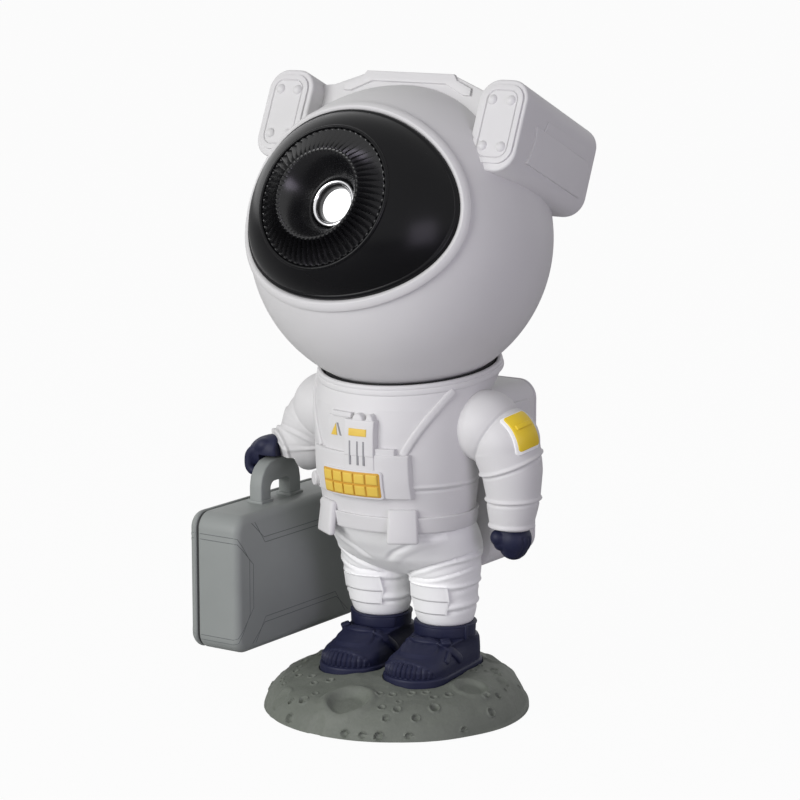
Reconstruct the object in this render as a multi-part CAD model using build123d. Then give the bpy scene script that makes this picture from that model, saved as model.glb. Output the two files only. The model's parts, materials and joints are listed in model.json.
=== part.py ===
from build123d import *
import math
import os

# Desk-top planetarium projector in the form of a standing astronaut on a disc of moon ground.
# Millimetres, +Z up, the astronaut faces -Y and their left side is +X.
# The origin is the middle of the base's underside, on the table.

# ---------------------------------------------------------------- driving dimensions
# head: a ball that is aimed on a round seat on top of the collar
HEAD_R = 54.0
HEAD_WALL = 2.4
HEAD_Y = 4.0
HEAD_Z = 170.5
HEAD_PITCH = 23.5
SEAT_DIP = 7.0
GAP = 0.3
RUN_FIT = 0.05

# face opening, lens funnel and rear cover, in the head's own frame
FACE_W = 43.4
FACE_H = 34.0
FACE_DROP = 1.0
BEZEL_W = 3.8
BEZEL_RISE = 1.3
OPTIC_DROP = 1.5
FUNNEL_R = 25.0
FUNNEL_Y = -51.6
CREST_R = 16.0
CREST_Y = -56.0
THROAT_R = 8.6
THROAT_Y = -43.8
HOOD_FOOT_Y = -46.0
PLEATS = 60
LENS_R = 7.4
RING_R = 8.5
RING_SIGHT_R = 6.2
COVER_R = 26.8
COVER_SCREW_R = 23.4

# side pods and the yoke that joins them over the crown
POD_IN_X = 35.2
POD_OUT_X = 54.5
POD_FRONT_Y = -24.5
POD_REAR_Y = 29.0
POD_LOW_Z = 19.7
POD_TOP_Z = 52.6
YOKE_FRONT_Y = -17.0
YOKE_REAR_Y = 22.0
YOKE_TOP_Z = 55.8
POD_WALL = 2.2

# rotating star-cloud disc and its motor
DISC_MODULE = 0.8
DISC_TEETH = 32
PINION_TEETH = 12
DISC_Z = 8.0
DISC_FRONT_Y = -32.5
DISC_THICK = 1.5

# torso, belt and backpack
TORSO_WALL = 2.2
SPLIT_Y = 6.8
WAIST_Z = 69.3
COLLAR_Z = 113.5
RIM_R = 33.3
RIM_DEPTH = 45.2
CUP_R = 18.2
BORE_R = 31.2
SHOULDER_Y = 6.8
SHOULDER_Z = 106.0
ARMHOLE_X = 29.3
ARMHOLE_R = 12.7
SHOULDER_BALL_X = 34.2
SHOULDER_BALL_R = 12.9
ARM_IN_X = 32.1
PIN_R = 2.5
BELT_TOP_Z = 75.1
BELT_RISE = 1.2
PACK_X = 27.0
PACK_FRONT_Y = 27.0
PACK_REAR_Y = 55.0
PACK_LOW_Z = 50.0
PACK_TOP_Z = 115.0
PACK_COVER = 3.0

# legs, boots and base
LEG_X = 14.0
HEM_Z = 31.5
CROTCH_Z = 52.0
SOLE_Z = 10.5
SOLE_TOP_Z = 16.0
UPPER_TOP_Z = 23.0
BASE_R = 48.8
BASE_LOW_Z = 0.4
BASE_TILT = 2.9
BASE_PROFILE = [(48.8, 0.4), (48.4, 1.6), (47.2, 4.4), (45.5, 7.2), (43.2, 9.4), (40.5, 11.4),
                (36.0, 12.8), (30.0, 13.8), (22.0, 14.6), (13.0, 15.3), (0.01, 15.8)]
CRATERS = [(4.0, -34.9, 8.0, 1.6), (34.6, -2.0, 5.0, 1.4), (22.0, 33.5, 4.5, 1.3), (-24.0, -36.5, 3.4, 1.0),
           (1.5, -44.3, 3.4, 1.0), (-34.0, 14.0, 6.5, 1.6), (-14.0, 38.0, 5.5, 1.4)]
PLATE_SCREW_R = 41.5

# case and its handle
CASE_X0 = -64.5
CASE_X1 = -42.0
CASE_SEAM_X = -60.0
CASE_Y0 = -38.3
CASE_Y1 = 39.0
CASE_Z0 = 20.2
CASE_Z1 = 71.0
CASE_WALL = 2.0
HANDLE_X0 = -55.5
HANDLE_X1 = -50.0
HANDLE_Y0 = -13.3
HANDLE_Y1 = 11.2
HANDLE_TOP_Z = 86.5
HANDLE_CORNER = 9.5
HANDLE_FRONT_LEG = 6.0
HANDLE_REAR_LEG = 6.6
HANDLE_BAR = 8.3
GRIP_PIN_R = 1.2
GRIP_Y = -0.3
GRIP_Z = 82.4
CASE_SWING = 8.0


# ---------------------------------------------------------------- placing and shaping helpers
def in_head(shape):
    """Place a shape drawn in the head's frame: origin at the ball's centre, -Y out of the lens."""
    return Pos(0, HEAD_Y, HEAD_Z) * Rot(-HEAD_PITCH, 0, 0) * shape


def in_seat(shape):
    """Place a shape drawn about the seat's axis, with its origin at the ball's centre."""
    return Pos(0, HEAD_Y, HEAD_Z) * Rot(SEAT_DIP, 0, 0) * shape


def keep(name, *shapes):
    """Write one node, as a group of its separate solids."""
    solids = [solid for shape in shapes for solid in shape.solids()]
    node = Compound(children=solids) if len(solids) > 1 else solids[0]
    export_step(node, f"parts/{name}.step")


def ring(outer_r, inner_r, low, high):
    """A flat ring about Z between two heights."""
    body = Pos(0, 0, (low + high) / 2) * Cylinder(outer_r, high - low)
    return body - Pos(0, 0, (low + high) / 2) * Cylinder(inner_r, high - low + 1)


def rod_x(radius, x0, x1, y, z):
    """A round rod along X."""
    return Pos((x0 + x1) / 2, y, z) * Rot(0, 90, 0) * Cylinder(radius, abs(x1 - x0))


def rod_y(radius, y0, y1, x=0.0, z=0.0):
    """A round rod along Y."""
    return Pos(x, (y0 + y1) / 2, z) * Rot(90, 0, 0) * Cylinder(radius, abs(y1 - y0))


def block(x0, x1, y0, y1, z0, z1):
    """A box between two corners."""
    size = Box(abs(x1 - x0), abs(y1 - y0), abs(z1 - z0))
    return Pos((x0 + x1) / 2, (y0 + y1) / 2, (z0 + z1) / 2) * size


def ball(x, y, z, radius):
    """A ball with its poles along Y, clear of the level cuts and joins."""
    return Pos(x, y, z) * Rot(90, 0, 0) * Sphere(radius)


def turned(points):
    """Turn a closed outline of (radius, y) points about the Y axis."""
    return revolve(make_face(Polyline(*points, close=True)), Axis.Y)


def turned_z(points):
    """Turn a closed outline of (radius, z) points about the Z axis."""
    outline = Plane.XZ * make_face(Polyline(*points, close=True))
    return revolve(outline, Axis.Z)


def front_slab(points, depth_from, depth_to):
    """Extrude an (x, z) outline along Y between two depths."""
    face = Plane.XZ * make_face(Polyline(*points, close=True))
    return extrude(Pos(0, depth_from, 0) * face, amount=abs(depth_to - depth_from), dir=(0, 1, 0))


def ellipse_slab(half_w, half_h, y0, y1, z=0.0):
    """An elliptic cylinder along Y."""
    face = Plane.XZ * Pos(0, z) * Ellipse(half_w, half_h)
    return extrude(Pos(0, y0, 0) * face, amount=abs(y1 - y0), dir=(0, 1, 0))


def oval_loft(rows, grow=0.0):
    """Loft level ovals; each row is (z, centre y, half width, half depth)."""
    return loft([Pos(0, cy, z) * Ellipse(rx + grow, ry + grow) for z, cy, rx, ry in rows])


def limb(rows, grow=0.0):
    """Loft level circles; each row is (x, y, z, radius)."""
    return loft([Pos(x, y, z) * Circle(r + grow) for x, y, z, r in rows])


def mirrored(shape):
    """The same piece on the other side of the body."""
    return mirror(shape, Plane.YZ)


# ---------------------------------------------------------------- torso shapes used by several pieces
TORSO_ROWS = [(WAIST_Z, 3.0, 28.0, 24.0), (80.0, 2.5, 29.3, 25.5), (90.0, 2.0, 30.5, 27.0),
              (104.0, 2.5, 31.5, 28.0), (COLLAR_Z, 4.0, 31.8, 28.5)]


def torso_skin(grow=0.0):
    """The torso's outer form, swollen by grow for what lies on it."""
    return oval_loft(TORSO_ROWS, grow)


def on_chest(points, rise, base=0.0):
    """A plate that follows the chest, with the given front outline, between two rises."""
    slab = front_slab(points, -60, -2)
    return (torso_skin(rise) & slab) - torso_skin(base)


def rectangle(x0, x1, z0, z1):
    return [(x0, z0), (x1, z0), (x1, z1), (x0, z1)]


# ---------------------------------------------------------------- base
def ground_height(reach):
    """Height of the untilted ground at this distance from the middle, with its slope angle."""
    levels = sorted(BASE_PROFILE)
    low = max(level for level in levels if level[0] <= reach)
    high = min(level for level in levels if level[0] > reach)
    share = (reach - low[0]) / (high[0] - low[0])
    return low[1] + (high[1] - low[1]) * share, math.atan2(low[1] - high[1], high[0] - low[0])


def crater_bowl(x, y, radius, depth):
    """The ball that sinks one crater square to the slope."""
    reach = math.hypot(x, y)
    z, slope = ground_height(reach)
    ball_r = (radius ** 2 + depth ** 2) / (2 * depth)
    lift = ball_r - depth
    outward = math.sin(slope) * lift / reach
    return Pos(x * (1 + outward), y * (1 + outward), z + math.cos(slope) * lift) * Sphere(ball_r)


def base_mound():
    """The domed ground with its craters, tipped up at the rear and cut level underneath."""
    skirt = 4.0
    mound = turned_z([(0.01, -skirt), (BASE_R, -skirt)] + BASE_PROFILE)
    for x, y, radius, depth in CRATERS:
        mound -= crater_bowl(x, y, radius, depth)
    mound = Rot(BASE_TILT, 0, 0) * mound
    return mound - block(-60, 60, -60, 60, -10, BASE_LOW_Z)


def boot_sole_outline(grow=0.0):
    """Footprint of the left boot: a rounded toe and heel joined by straight sides."""
    toe = Pos(LEG_X, -6.0) * Circle(12.0 + grow)
    heel = Pos(LEG_X, 18.5) * Circle(9.5 + grow)
    return make_hull(toe.edges() + heel.edges())


def boot_block(grow, z0, z1):
    return extrude(Pos(0, 0, z0) * boot_sole_outline(grow), amount=z1 - z0)


def four_around(radius):
    """Four places at 45 degrees round a circle."""
    angles = [math.radians(angle) for angle in (45, 135, 225, 315)]
    return [(radius * math.cos(angle), radius * math.sin(angle)) for angle in angles]


def boot_screw_places():
    """Two screws up into each boot."""
    return [(side * LEG_X, y) for side in (1, -1) for y in (0.0, 17.0)]


def moon_base():
    """The ground shell: open below for the ballast, with wells for the boots' soles."""
    hollow = [(0.01, 0), (45.2, 0), (45.2, 2.0), (38.4, 7.6), (38.4, 8.4), (0.01, 8.4)]
    shell = base_mound() - turned_z(hollow)
    well = boot_block(0.9, SOLE_Z, 20)
    shell = shell - well - mirrored(well)
    for x, y in boot_screw_places():
        shell -= Pos(x, y, 9) * Cylinder(1.6, 6)
    for x, y in four_around(PLATE_SCREW_R):
        shell -= Pos(x, y, 3.5) * Cylinder(1.0, 5)
    return shell


def base_parts():
    """The moon shell, its floor plate and weight, the foam pad under them and the screws."""
    plate = Pos(0, 0, 1.4) * Cylinder(44.8, 1.2)
    pad = Pos(0, 0, 0.4) * Cylinder(44.0, 0.8)
    ballast = Pos(0, 0, 5.15) * Cylinder(38.0, 6.3)
    screws = []
    for x, y in four_around(PLATE_SCREW_R):
        plate -= Pos(x, y, 1.4) * Cylinder(1.0, 3)
        pad -= Pos(x, y, 0.4) * Cylinder(2.1, 2)
        screws.append(Pos(x, y, 3.3) * Cylinder(1.0, 5.4) + Pos(x, y, 0.5) * Cylinder(2.0, 0.6))
    for x, y in boot_screw_places():
        ballast -= Pos(x, y, 5) * Cylinder(3.0, 12)
        screws.append(Pos(x, y, 12.2) * Cylinder(1.6, 12.0) + Pos(x, y, 5.6) * Cylinder(2.8, 1.4))
    keep("moon_base", moon_base())
    keep("base_plate", plate)
    keep("ballast_plate", ballast)
    keep("base_pad", pad)
    keep("base_screws", *screws)


# ---------------------------------------------------------------- boots and trousers
def left_boot():
    sole = boot_block(0.5, SOLE_Z, SOLE_TOP_Z)
    upper = boot_block(-0.6, SOLE_TOP_Z, UPPER_TOP_Z)
    upper = fillet(upper.edges().group_by(Axis.Z)[-1], 4.5)
    instep = loft([Pos(LEG_X, 5.0, SOLE_TOP_Z) * Ellipse(18.0, 10.4, rotation=90),
                   Pos(LEG_X, 6.8, UPPER_TOP_Z) * Ellipse(15.5, 10.3, rotation=90),
                   Pos(LEG_X, 9.5, 27.0) * Ellipse(12.6, 10.8, rotation=90)])
    ankle = limb([(LEG_X, 12.8, 15.0, 10.6), (LEG_X, 12.3, 24.0, 10.9), (LEG_X, 12.0, HEM_Z, 11.0)])
    boot = sole + upper + instep + ankle
    for y in (0.0, 17.0):
        boot -= Pos(LEG_X, y, 13) * Cylinder(1.6, 10.6)
    return boot


LEG_ROWS = [(14.0, 12.0, HEM_Z, 10.2), (14.0, 11.6, 38.0, 11.2), (14.2, 11.0, 46.0, 12.2),
            (14.8, 10.0, 56.0, 13.4), (14.5, 9.0, 62.0, 13.6)]
HIP_ROWS = [(CROTCH_Z, 10.5, 28.2, 15.0), (58.0, 9.5, 29.6, 21.0), (64.0, 7.0, 29.6, 23.2),
            (WAIST_Z, 3.5, 28.2, 24.0)]


def trousers():
    leg = limb(LEG_ROWS)
    hips = oval_loft(HIP_ROWS)
    body = hips + leg + mirrored(leg)
    body -= oval_loft(HIP_ROWS[1:], -2.4)
    return body


def knee_pads():
    pads = []
    for side in (1, -1):
        leg = limb(LEG_ROWS, 0.9)
        bare = limb(LEG_ROWS)
        plates = [(5.2, 19.5, 42.6, 49.6), (7.0, 20.5, 36.6, 42.2)]
        for x0, x1, z0, z1 in plates:
            slab = front_slab(rectangle(x0, x1, z0, z1), -20, 8)
            patch = (leg & slab) - bare
            pads.append(patch if side > 0 else mirrored(patch))
    return pads


def leg_parts():
    boot = left_boot()
    keep("left_boot", boot)
    keep("right_boot", mirrored(boot))
    keep("trousers", trousers())
    keep("knee_pads", *knee_pads())


# ---------------------------------------------------------------- torso, collar, chest and belt
def collar_form(grow=0.0):
    """The collar's outer form: it rises from the torso's top oval to the tilted round rim."""
    base = Pos(0, 4.0, COLLAR_Z) * Ellipse(31.8 + grow, 28.5 + grow)
    middle = in_seat(Pos(0, 0, -50.0) * Circle(33.6 + grow))
    rim = in_seat(Pos(0, 0, -RIM_DEPTH) * Circle(RIM_R + grow))
    return loft([base, middle, rim])


def armholes():
    """The two round recesses in which the arms' discs turn, wider where the shoulder balls pass."""
    hole = rod_x(ARMHOLE_R, ARMHOLE_X, ARM_IN_X, SHOULDER_Y, SHOULDER_Z)
    hole += rod_x(SHOULDER_BALL_R + 0.4, ARM_IN_X - GAP, 42.0, SHOULDER_Y, SHOULDER_Z)
    return hole + mirrored(hole)


def collar():
    """A collar with a bore for the swivel ring, a shelf for the washer and a cup for the magnet."""
    body = collar_form() + in_seat(Pos(0, 0, -57.0) * Cylinder(CUP_R, 10.0))
    body -= in_seat(Pos(0, 0, -41.8) * Cylinder(BORE_R, 20))
    body -= in_seat(Pos(0, 0, -50.0) * Cylinder(CUP_R - 1.6, 20.0))
    return body - armholes()


def torso_halves():
    skin = torso_skin()
    inner = torso_skin(-TORSO_WALL)
    shell = skin - inner
    for side in (1, -1):
        boss = rod_x(15.4, side * 25.0, side * 33.0, SHOULDER_Y, SHOULDER_Z) & skin
        shell += boss
    shell -= armholes()
    shell -= rod_x(PIN_R, -40.0, 40.0, SHOULDER_Y, SHOULDER_Z)
    front = shell & block(-60, 60, -60, SPLIT_Y, 60, 130)
    back = shell & block(-60, 60, SPLIT_Y, 60, 60, 130)
    return front, back


def shoulder_pins():
    pins = []
    for side in (1, -1):
        shank = rod_x(PIN_R, side * 23.0, side * 39.0, SHOULDER_Y, SHOULDER_Z)
        head = rod_x(4.4, side * 23.0, side * 25.0, SHOULDER_Y, SHOULDER_Z)
        pins.append(shank + head)
    return pins


PANEL_RISE = 2.8
PLATE_RISE = 0.7
PANEL = [(-20.0, 82.3), (19.9, 82.3), (19.9, 98.2), (9.1, 98.2), (9.1, 110.2), (-2.6, 110.2), (-2.6, 98.2),
         (-20.0, 98.2)]
KEYPAD = (-13.0, 11.2, 82.9, 91.8)
WINDOW = (-0.4, 6.6, 104.6, 107.2)
TRIANGLE = [(-10.2, 103.4), (-7.2, 103.5), (-8.0, 107.6)]
SLASH = [(-7.6, 107.9), (-7.0, 107.9), (-5.2, 103.5), (-5.8, 103.5)]


def pocket(area, floor):
    """Clearance for an inlay of this area, down to the given rise."""
    x0, x1, z0, z1 = area
    return on_chest(rectangle(x0 - 0.1, x1 + 0.1, z0 - 0.1, z1 + 0.1), PANEL_RISE + 1.2, floor)


def chest_panel():
    body = on_chest(PANEL, PANEL_RISE)
    body += on_chest(rectangle(-14.0, -2.4, 98.0, 111.0), PLATE_RISE)
    for x0, x1 in ((0.3, 4.6), (5.7, 8.5)):
        body += on_chest(rectangle(x0, x1, 110.1, 112.4), 2.2)
    body += on_chest(rectangle(8.9, 15.6, 98.0, 100.4), 1.8)
    body += on_chest(rectangle(-9.7, -0.8, 110.4, 112.0), 1.5)
    body += rod_y(2.6, -25.0, -17.0, -19.0, 85.6) - torso_skin()
    for x in (0.0, 3.1, 5.5):
        body -= on_chest(rectangle(x - 0.4, x + 0.4, 94.2, 102.8), PANEL_RISE + 1.2, PANEL_RISE - 0.8)
    return body - pocket(KEYPAD, 2.2) - pocket(WINDOW, 2.3)


def chest_keypad():
    """Two rows of five keys on their rubber sheet, moulded in one piece."""
    pitch = 4.7
    plate = on_chest(rectangle(*KEYPAD), 3.0, 2.2)
    for column in range(5):
        for low in (83.5, 87.7):
            x = -12.25 + column * pitch
            plate += on_chest(rectangle(x, x + 3.9, low, low + 3.4), 3.9, 2.6)
    return plate


def chest_inlays():
    window = on_chest(rectangle(*WINDOW), 3.1, 2.3)
    marks = [on_chest(outline, PLATE_RISE + 0.5, PLATE_RISE) for outline in (TRIANGLE, SLASH)]
    return [window] + marks


def harness_straps():
    band = [(15.9, 98.25), (19.3, 98.25), (27.4, COLLAR_Z), (23.8, COLLAR_Z)]
    strap = on_chest(band, 1.5) & block(0, 31.6, -60, 0, 90, 130)
    strap -= rod_x(ARMHOLE_R + 1.0, 25.0, 40.0, SHOULDER_Y, SHOULDER_Z)
    return strap, mirrored(strap)


def belt_and_pouches():
    skin = torso_skin(BELT_RISE) & block(-60, 60, -60, 60, WAIST_Z, BELT_TOP_Z)
    belt = skin - torso_skin() - block(-PACK_X, PACK_X, 20.0, 60, 60, 90)
    keep("belt", belt)
    box = Box(10.8, 3.8, 12.2)
    box = fillet(box.edges().filter_by(Axis.Y), 1.4)
    pouch = Pos(16.3, -19.1, 72.1) * Rot(0, 0, 31) * Rot(-4, 0, 0) * box
    pouch = pouch - torso_skin(BELT_RISE) - oval_loft(HIP_ROWS)
    keep("belt_pouches", pouch, mirrored(pouch))


def pack_corners():
    """The four screw places of the backpack's cover."""
    inset = 6.0
    heights = (PACK_LOW_Z + inset, PACK_TOP_Z - inset)
    return [(x, z) for x in (-PACK_X + inset, PACK_X - inset) for z in heights]


def backpack_shell():
    wall = 2.4
    cover_y = PACK_REAR_Y - PACK_COVER
    shell = block(-PACK_X, PACK_X, PACK_FRONT_Y - 12, cover_y, PACK_LOW_Z, PACK_TOP_Z)
    shell = fillet(shell.edges().filter_by(Axis.Y), 7.0)
    hollow = block(-PACK_X + wall, PACK_X - wall, 33.0, PACK_REAR_Y, PACK_LOW_Z + wall, PACK_TOP_Z - wall)
    shell = shell - hollow - torso_skin() - oval_loft(HIP_ROWS)
    shell -= block(-60, 60, -60, 20.0, 0, 200)
    for side in (1, -1):
        shell -= limb([(side * LEG_X, 11, 40, 14), (side * LEG_X, 11, 66, 14)])
    for x, z in pack_corners():
        shell += rod_y(2.6, 31.0, cover_y, x, z)
        shell -= rod_y(1.0, 42.0, PACK_REAR_Y, x, z)
    return shell - collar_form(0.05) - in_seat(Pos(0, 0, -50.0) * Cylinder(CUP_R + 0.3, 30.0))


def backpack_parts():
    cover = block(-PACK_X, PACK_X, PACK_REAR_Y - PACK_COVER, PACK_REAR_Y, PACK_LOW_Z, PACK_TOP_Z)
    cover = fillet(cover.edges().filter_by(Axis.Y), 7.0)
    cover = chamfer(cover.faces().sort_by(Axis.Y)[-1].edges(), 1.2)
    sunk = PACK_REAR_Y - 1.6
    screws = []
    for x, z in pack_corners():
        cover -= rod_y(1.1, PACK_REAR_Y - 4, PACK_REAR_Y + 1, x, z)
        cover -= rod_y(2.3, sunk, PACK_REAR_Y + 1, x, z)
        screws.append(rod_y(1.0, 43.0, sunk + 0.6, x, z) + rod_y(2.1, sunk, sunk + 1.1, x, z))
    keep("backpack_shell", backpack_shell())
    keep("backpack_cover", cover)
    keep("backpack_screws", *screws)


def torso_parts():
    front, back = torso_halves()
    keep("torso_front", front)
    keep("torso_back", back)
    keep("collar", collar())
    keep("neck_magnet", in_seat(Pos(0, 0, -57.3) * Cylinder(CUP_R - 1.8, 5.0)))
    keep("shoulder_pins", *shoulder_pins())
    keep("chest_panel", chest_panel())
    keep("chest_keypad", chest_keypad())
    keep("chest_inlays", *chest_inlays())
    keep("harness_straps", *harness_straps())
    belt_and_pouches()
    backpack_parts()


# ---------------------------------------------------------------- arms
LEFT_LOBE = (42.0, 7.2, 101.5)
LEFT_LOBE_R = 12.3
LEFT_ROWS = [(42.2, 7.3, 99.5, 12.2), (43.6, 7.7, 94.5, 11.5), (44.4, 8.1, 90.0, 10.8),
             (44.5, 8.7, 83.0, 9.8), (44.0, 9.0, 77.0, 9.0), (43.5, 9.2, 71.0, 7.6)]
RIGHT_LOBE = (-39.5, 7.2, 101.0)
RIGHT_LOBE_R = 11.5
ELBOW = (-44.2, 7.0, 91.6)
ELBOW_R = 10.6
RIGHT_ROWS = [(-40.5, 7.1, 101.0, 11.4), (-42.5, 7.2, 96.0, 11.1), (*ELBOW, ELBOW_R - 0.1)]
CUFF = (-50.4, -1.2, 88.6)
CUFF_R = 7.2
WRIST_R = 5.2


def arm_clear(side):
    """Everything on the body's side of the arm, so that a turning arm never meets the torso."""
    return block(0.0, side * ARM_IN_X, -60, 60, 20, 130)


def with_shoulder(side, sleeve):
    """The sleeve with its round shoulder, the disc that turns in the armhole and the pin's bore."""
    ball = Pos(side * SHOULDER_BALL_X, SHOULDER_Y, SHOULDER_Z) * Sphere(SHOULDER_BALL_R)
    disc = rod_x(ARMHOLE_R - GAP, side * (ARMHOLE_X + GAP), side * 36.0, SHOULDER_Y, SHOULDER_Z)
    bore = rod_x(PIN_R + RUN_FIT, side * 28.0, side * 39.4, SHOULDER_Y, SHOULDER_Z)
    return (ball + sleeve) - arm_clear(side) + disc - bore


def arm_patch(arm):
    """A curved pad on the outside of the upper arm, with one raised bar."""
    depth = 6.0
    facing = Pos(52.0, 3.6, 107.0) * Rot(0, 0, -17) * Rot(0, -25, 0) * Rot(20, 0, 0)
    pad = Box(depth, 9.8, 13.2)
    pad = facing * fillet(pad.edges().filter_by(Axis.X), 1.5)
    bar = facing * Pos(0, 0, 1.6) * Box(depth, 7.0, 1.8)
    pad = pad & (Pos(*LEFT_LOBE) * Sphere(LEFT_LOBE_R + 1.0))
    bar = bar & (Pos(*LEFT_LOBE) * Sphere(LEFT_LOBE_R + 1.8))
    return pad + bar - arm


def left_arm_parts():
    sleeve = Pos(*LEFT_LOBE) * Sphere(LEFT_LOBE_R) + limb(LEFT_ROWS)
    arm = with_shoulder(1, sleeve)
    x, y, hem, hem_r = LEFT_ROWS[-1]
    plug = Pos(x, y, hem + 0.4) * Cylinder(WRIST_R, 4.8)
    palm = ball(44.5, 9.6, 65.8, 6.4)
    fingers = ball(44.2, 9.8, 63.6, 5.2)
    thumb = ball(40.6, 4.6, 66.8, 3.0)
    glove = (palm + fingers + thumb) - block(20, 70, -20, 40, hem, 90) + plug
    arm -= plug
    keep("left_arm", arm)
    keep("left_glove", glove - arm)
    keep("left_arm_patch", arm_patch(arm))


def handle_sweep():
    """The handle's loop and the space that it needs as the case swings in the hand."""
    swept = None
    for step in (-1.0, -0.5, 0.0, 0.5, 1.0):
        bar = block(HANDLE_X0 - GAP, HANDLE_X1 + 8, HANDLE_Y0 - GAP, HANDLE_Y1 + GAP, 60, HANDLE_TOP_Z + GAP)
        bar = Pos(0, GRIP_Y, GRIP_Z) * Rot(step * CASE_SWING, 0, 0) * Pos(0, -GRIP_Y, -GRIP_Z) * bar
        swept = bar if swept is None else swept + bar
    return swept


def right_arm_parts():
    along = Vector(*CUFF) - Vector(*ELBOW)
    elbow = Plane(origin=Vector(*ELBOW), z_dir=along)
    cuff = Plane(origin=Vector(*CUFF), z_dir=along)
    inside = Plane(origin=Vector(*CUFF) - along.normalized() * 3.0, z_dir=along)
    knuckle = Plane(origin=Vector(-57.8, -1.2, 87.6), z_dir=along)
    sleeve = Pos(*RIGHT_LOBE) * Sphere(RIGHT_LOBE_R) + limb(RIGHT_ROWS) + Pos(*ELBOW) * Sphere(ELBOW_R)
    sleeve += loft([elbow * Circle(ELBOW_R - 0.1), cuff * Circle(CUFF_R)])
    root = loft([inside * Circle(WRIST_R - 0.4), cuff * Circle(WRIST_R - 0.4)])
    arm = with_shoulder(-1, sleeve) - root - handle_sweep()
    glove = loft([cuff * Circle(CUFF_R - 1.0), knuckle * Circle(WRIST_R)]) + root
    glove = glove + ball(-59.4, -0.4, 85.0, 5.8) + ball(-59.6, -2.2, 83.0, 5.0) + ball(-55.8, -1.0, 90.4, 3.2)
    pin = rod_x(GRIP_PIN_R, HANDLE_X0 - 6.0, HANDLE_X0 + 4.2, GRIP_Y, GRIP_Z)
    keep("right_arm", arm)
    keep("right_glove", glove - handle_sweep() - pin - arm)
    keep("grip_pin", pin)


# ---------------------------------------------------------------- case
def case_block(x0, x1, shrink, corner):
    body = block(x0, x1, CASE_Y0 + shrink, CASE_Y1 - shrink, CASE_Z0 + shrink, CASE_Z1 - shrink)
    return fillet(body.edges().filter_by(Axis.X), corner)


def case_handle():
    """The D-shaped loop on two low plinths, bored for the grip pin."""
    handle = handle_loop()
    for y0, y1 in ((HANDLE_Y0, HANDLE_Y0 + HANDLE_FRONT_LEG), (HANDLE_Y1 - HANDLE_REAR_LEG, HANDLE_Y1)):
        handle += block(HANDLE_X0 - 0.7, HANDLE_X1 + 0.7, y0 - 0.7, y1 + 0.7, CASE_Z1, CASE_Z1 + 0.9)
    return handle - rod_x(GRIP_PIN_R + RUN_FIT, HANDLE_X0 - 1, HANDLE_X0 + 4.4, GRIP_Y, GRIP_Z)


def handle_loop():
    """A plate that stands along Y, with an arched top and a window for the fingers."""
    middle_z = HANDLE_TOP_Z - HANDLE_CORNER
    outline = [(HANDLE_Y0, CASE_Z1)]
    for centre, start in ((HANDLE_Y0 + HANDLE_CORNER, 180.0), (HANDLE_Y1 - HANDLE_CORNER, 90.0)):
        for step in range(5):
            turn = math.radians(start - 22.5 * step)
            across = HANDLE_CORNER * math.cos(turn)
            outline.append((centre + across, middle_z + HANDLE_CORNER * math.sin(turn)))
    outline.append((HANDLE_Y1, CASE_Z1))
    face = Plane.YZ * make_face(Polyline(*outline, close=True))
    plate = extrude(Pos(HANDLE_X0, 0, 0) * face, amount=HANDLE_X1 - HANDLE_X0, dir=(1, 0, 0))
    window = block(HANDLE_X0 - 1, HANDLE_X1 + 1, HANDLE_Y0 + HANDLE_FRONT_LEG, HANDLE_Y1 - HANDLE_REAR_LEG,
                   CASE_Z1 - 1, HANDLE_TOP_Z - HANDLE_BAR)
    return plate - fillet(window.edges().filter_by(Axis.X).group_by(Axis.Z)[-1], 2.7)


def case_parts():
    """A tray and a lid that meet on a rubber seal, and the handle on top of the tray."""
    seal_x = CASE_SEAM_X - 1.0
    body = case_block(CASE_SEAM_X, CASE_X1, 0.0, 6.0)
    body = fillet(body.faces().sort_by(Axis.X)[-1].edges(), 3.0)
    body -= case_block(CASE_SEAM_X - 1, CASE_X1 - CASE_WALL, CASE_WALL, 4.0)
    lid = case_block(CASE_X0, seal_x, 0.0, 6.0)
    lid = fillet(lid.faces().sort_by(Axis.X)[0].edges(), 3.0)
    lid -= case_block(CASE_X0 + CASE_WALL, CASE_SEAM_X, CASE_WALL, 4.0)
    seal = case_block(seal_x, CASE_SEAM_X, 0.9, 5.2)
    seal -= case_block(seal_x - 1.0, CASE_SEAM_X + 1, CASE_WALL + 1.4, 3.0)
    keep("case_body", body)
    keep("case_lid", lid)
    keep("case_seal", seal)
    keep("case_handle", case_handle())


# ---------------------------------------------------------------- head: shells
def helmet_opening():
    return ellipse_slab(FACE_W, FACE_H, -70, -5, -FACE_DROP)


def helmet_shell():
    """The ball's shell with a raised rim round the face opening and a seat for the rear cover."""
    rim = ellipse_slab(FACE_W + BEZEL_W, FACE_H + BEZEL_W, -70, -5, -FACE_DROP)
    rim = rim & Sphere(HEAD_R + BEZEL_RISE)
    shell = Sphere(HEAD_R) + rim - Sphere(HEAD_R - HEAD_WALL)
    shell -= helmet_opening()
    shell -= rod_y(COVER_R + 0.2, 20, 70)
    shell += turned([(20.0, 43.5), (28.6, 43.5), (28.6, 44.6), (27.2, 45.4), (20.0, 45.4)])
    for x, z in four_around(COVER_SCREW_R):
        shell -= rod_y(0.9, 42, 47, x, z)
    return shell


BUTTON_X = {"power_button": 0.0, "stars_button": -12.0, "nebula_button": 12.0}
BUTTON_Z = 6.0
BUTTON_R = 4.0
SCREW_HEAD_Y = 46.9


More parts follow.
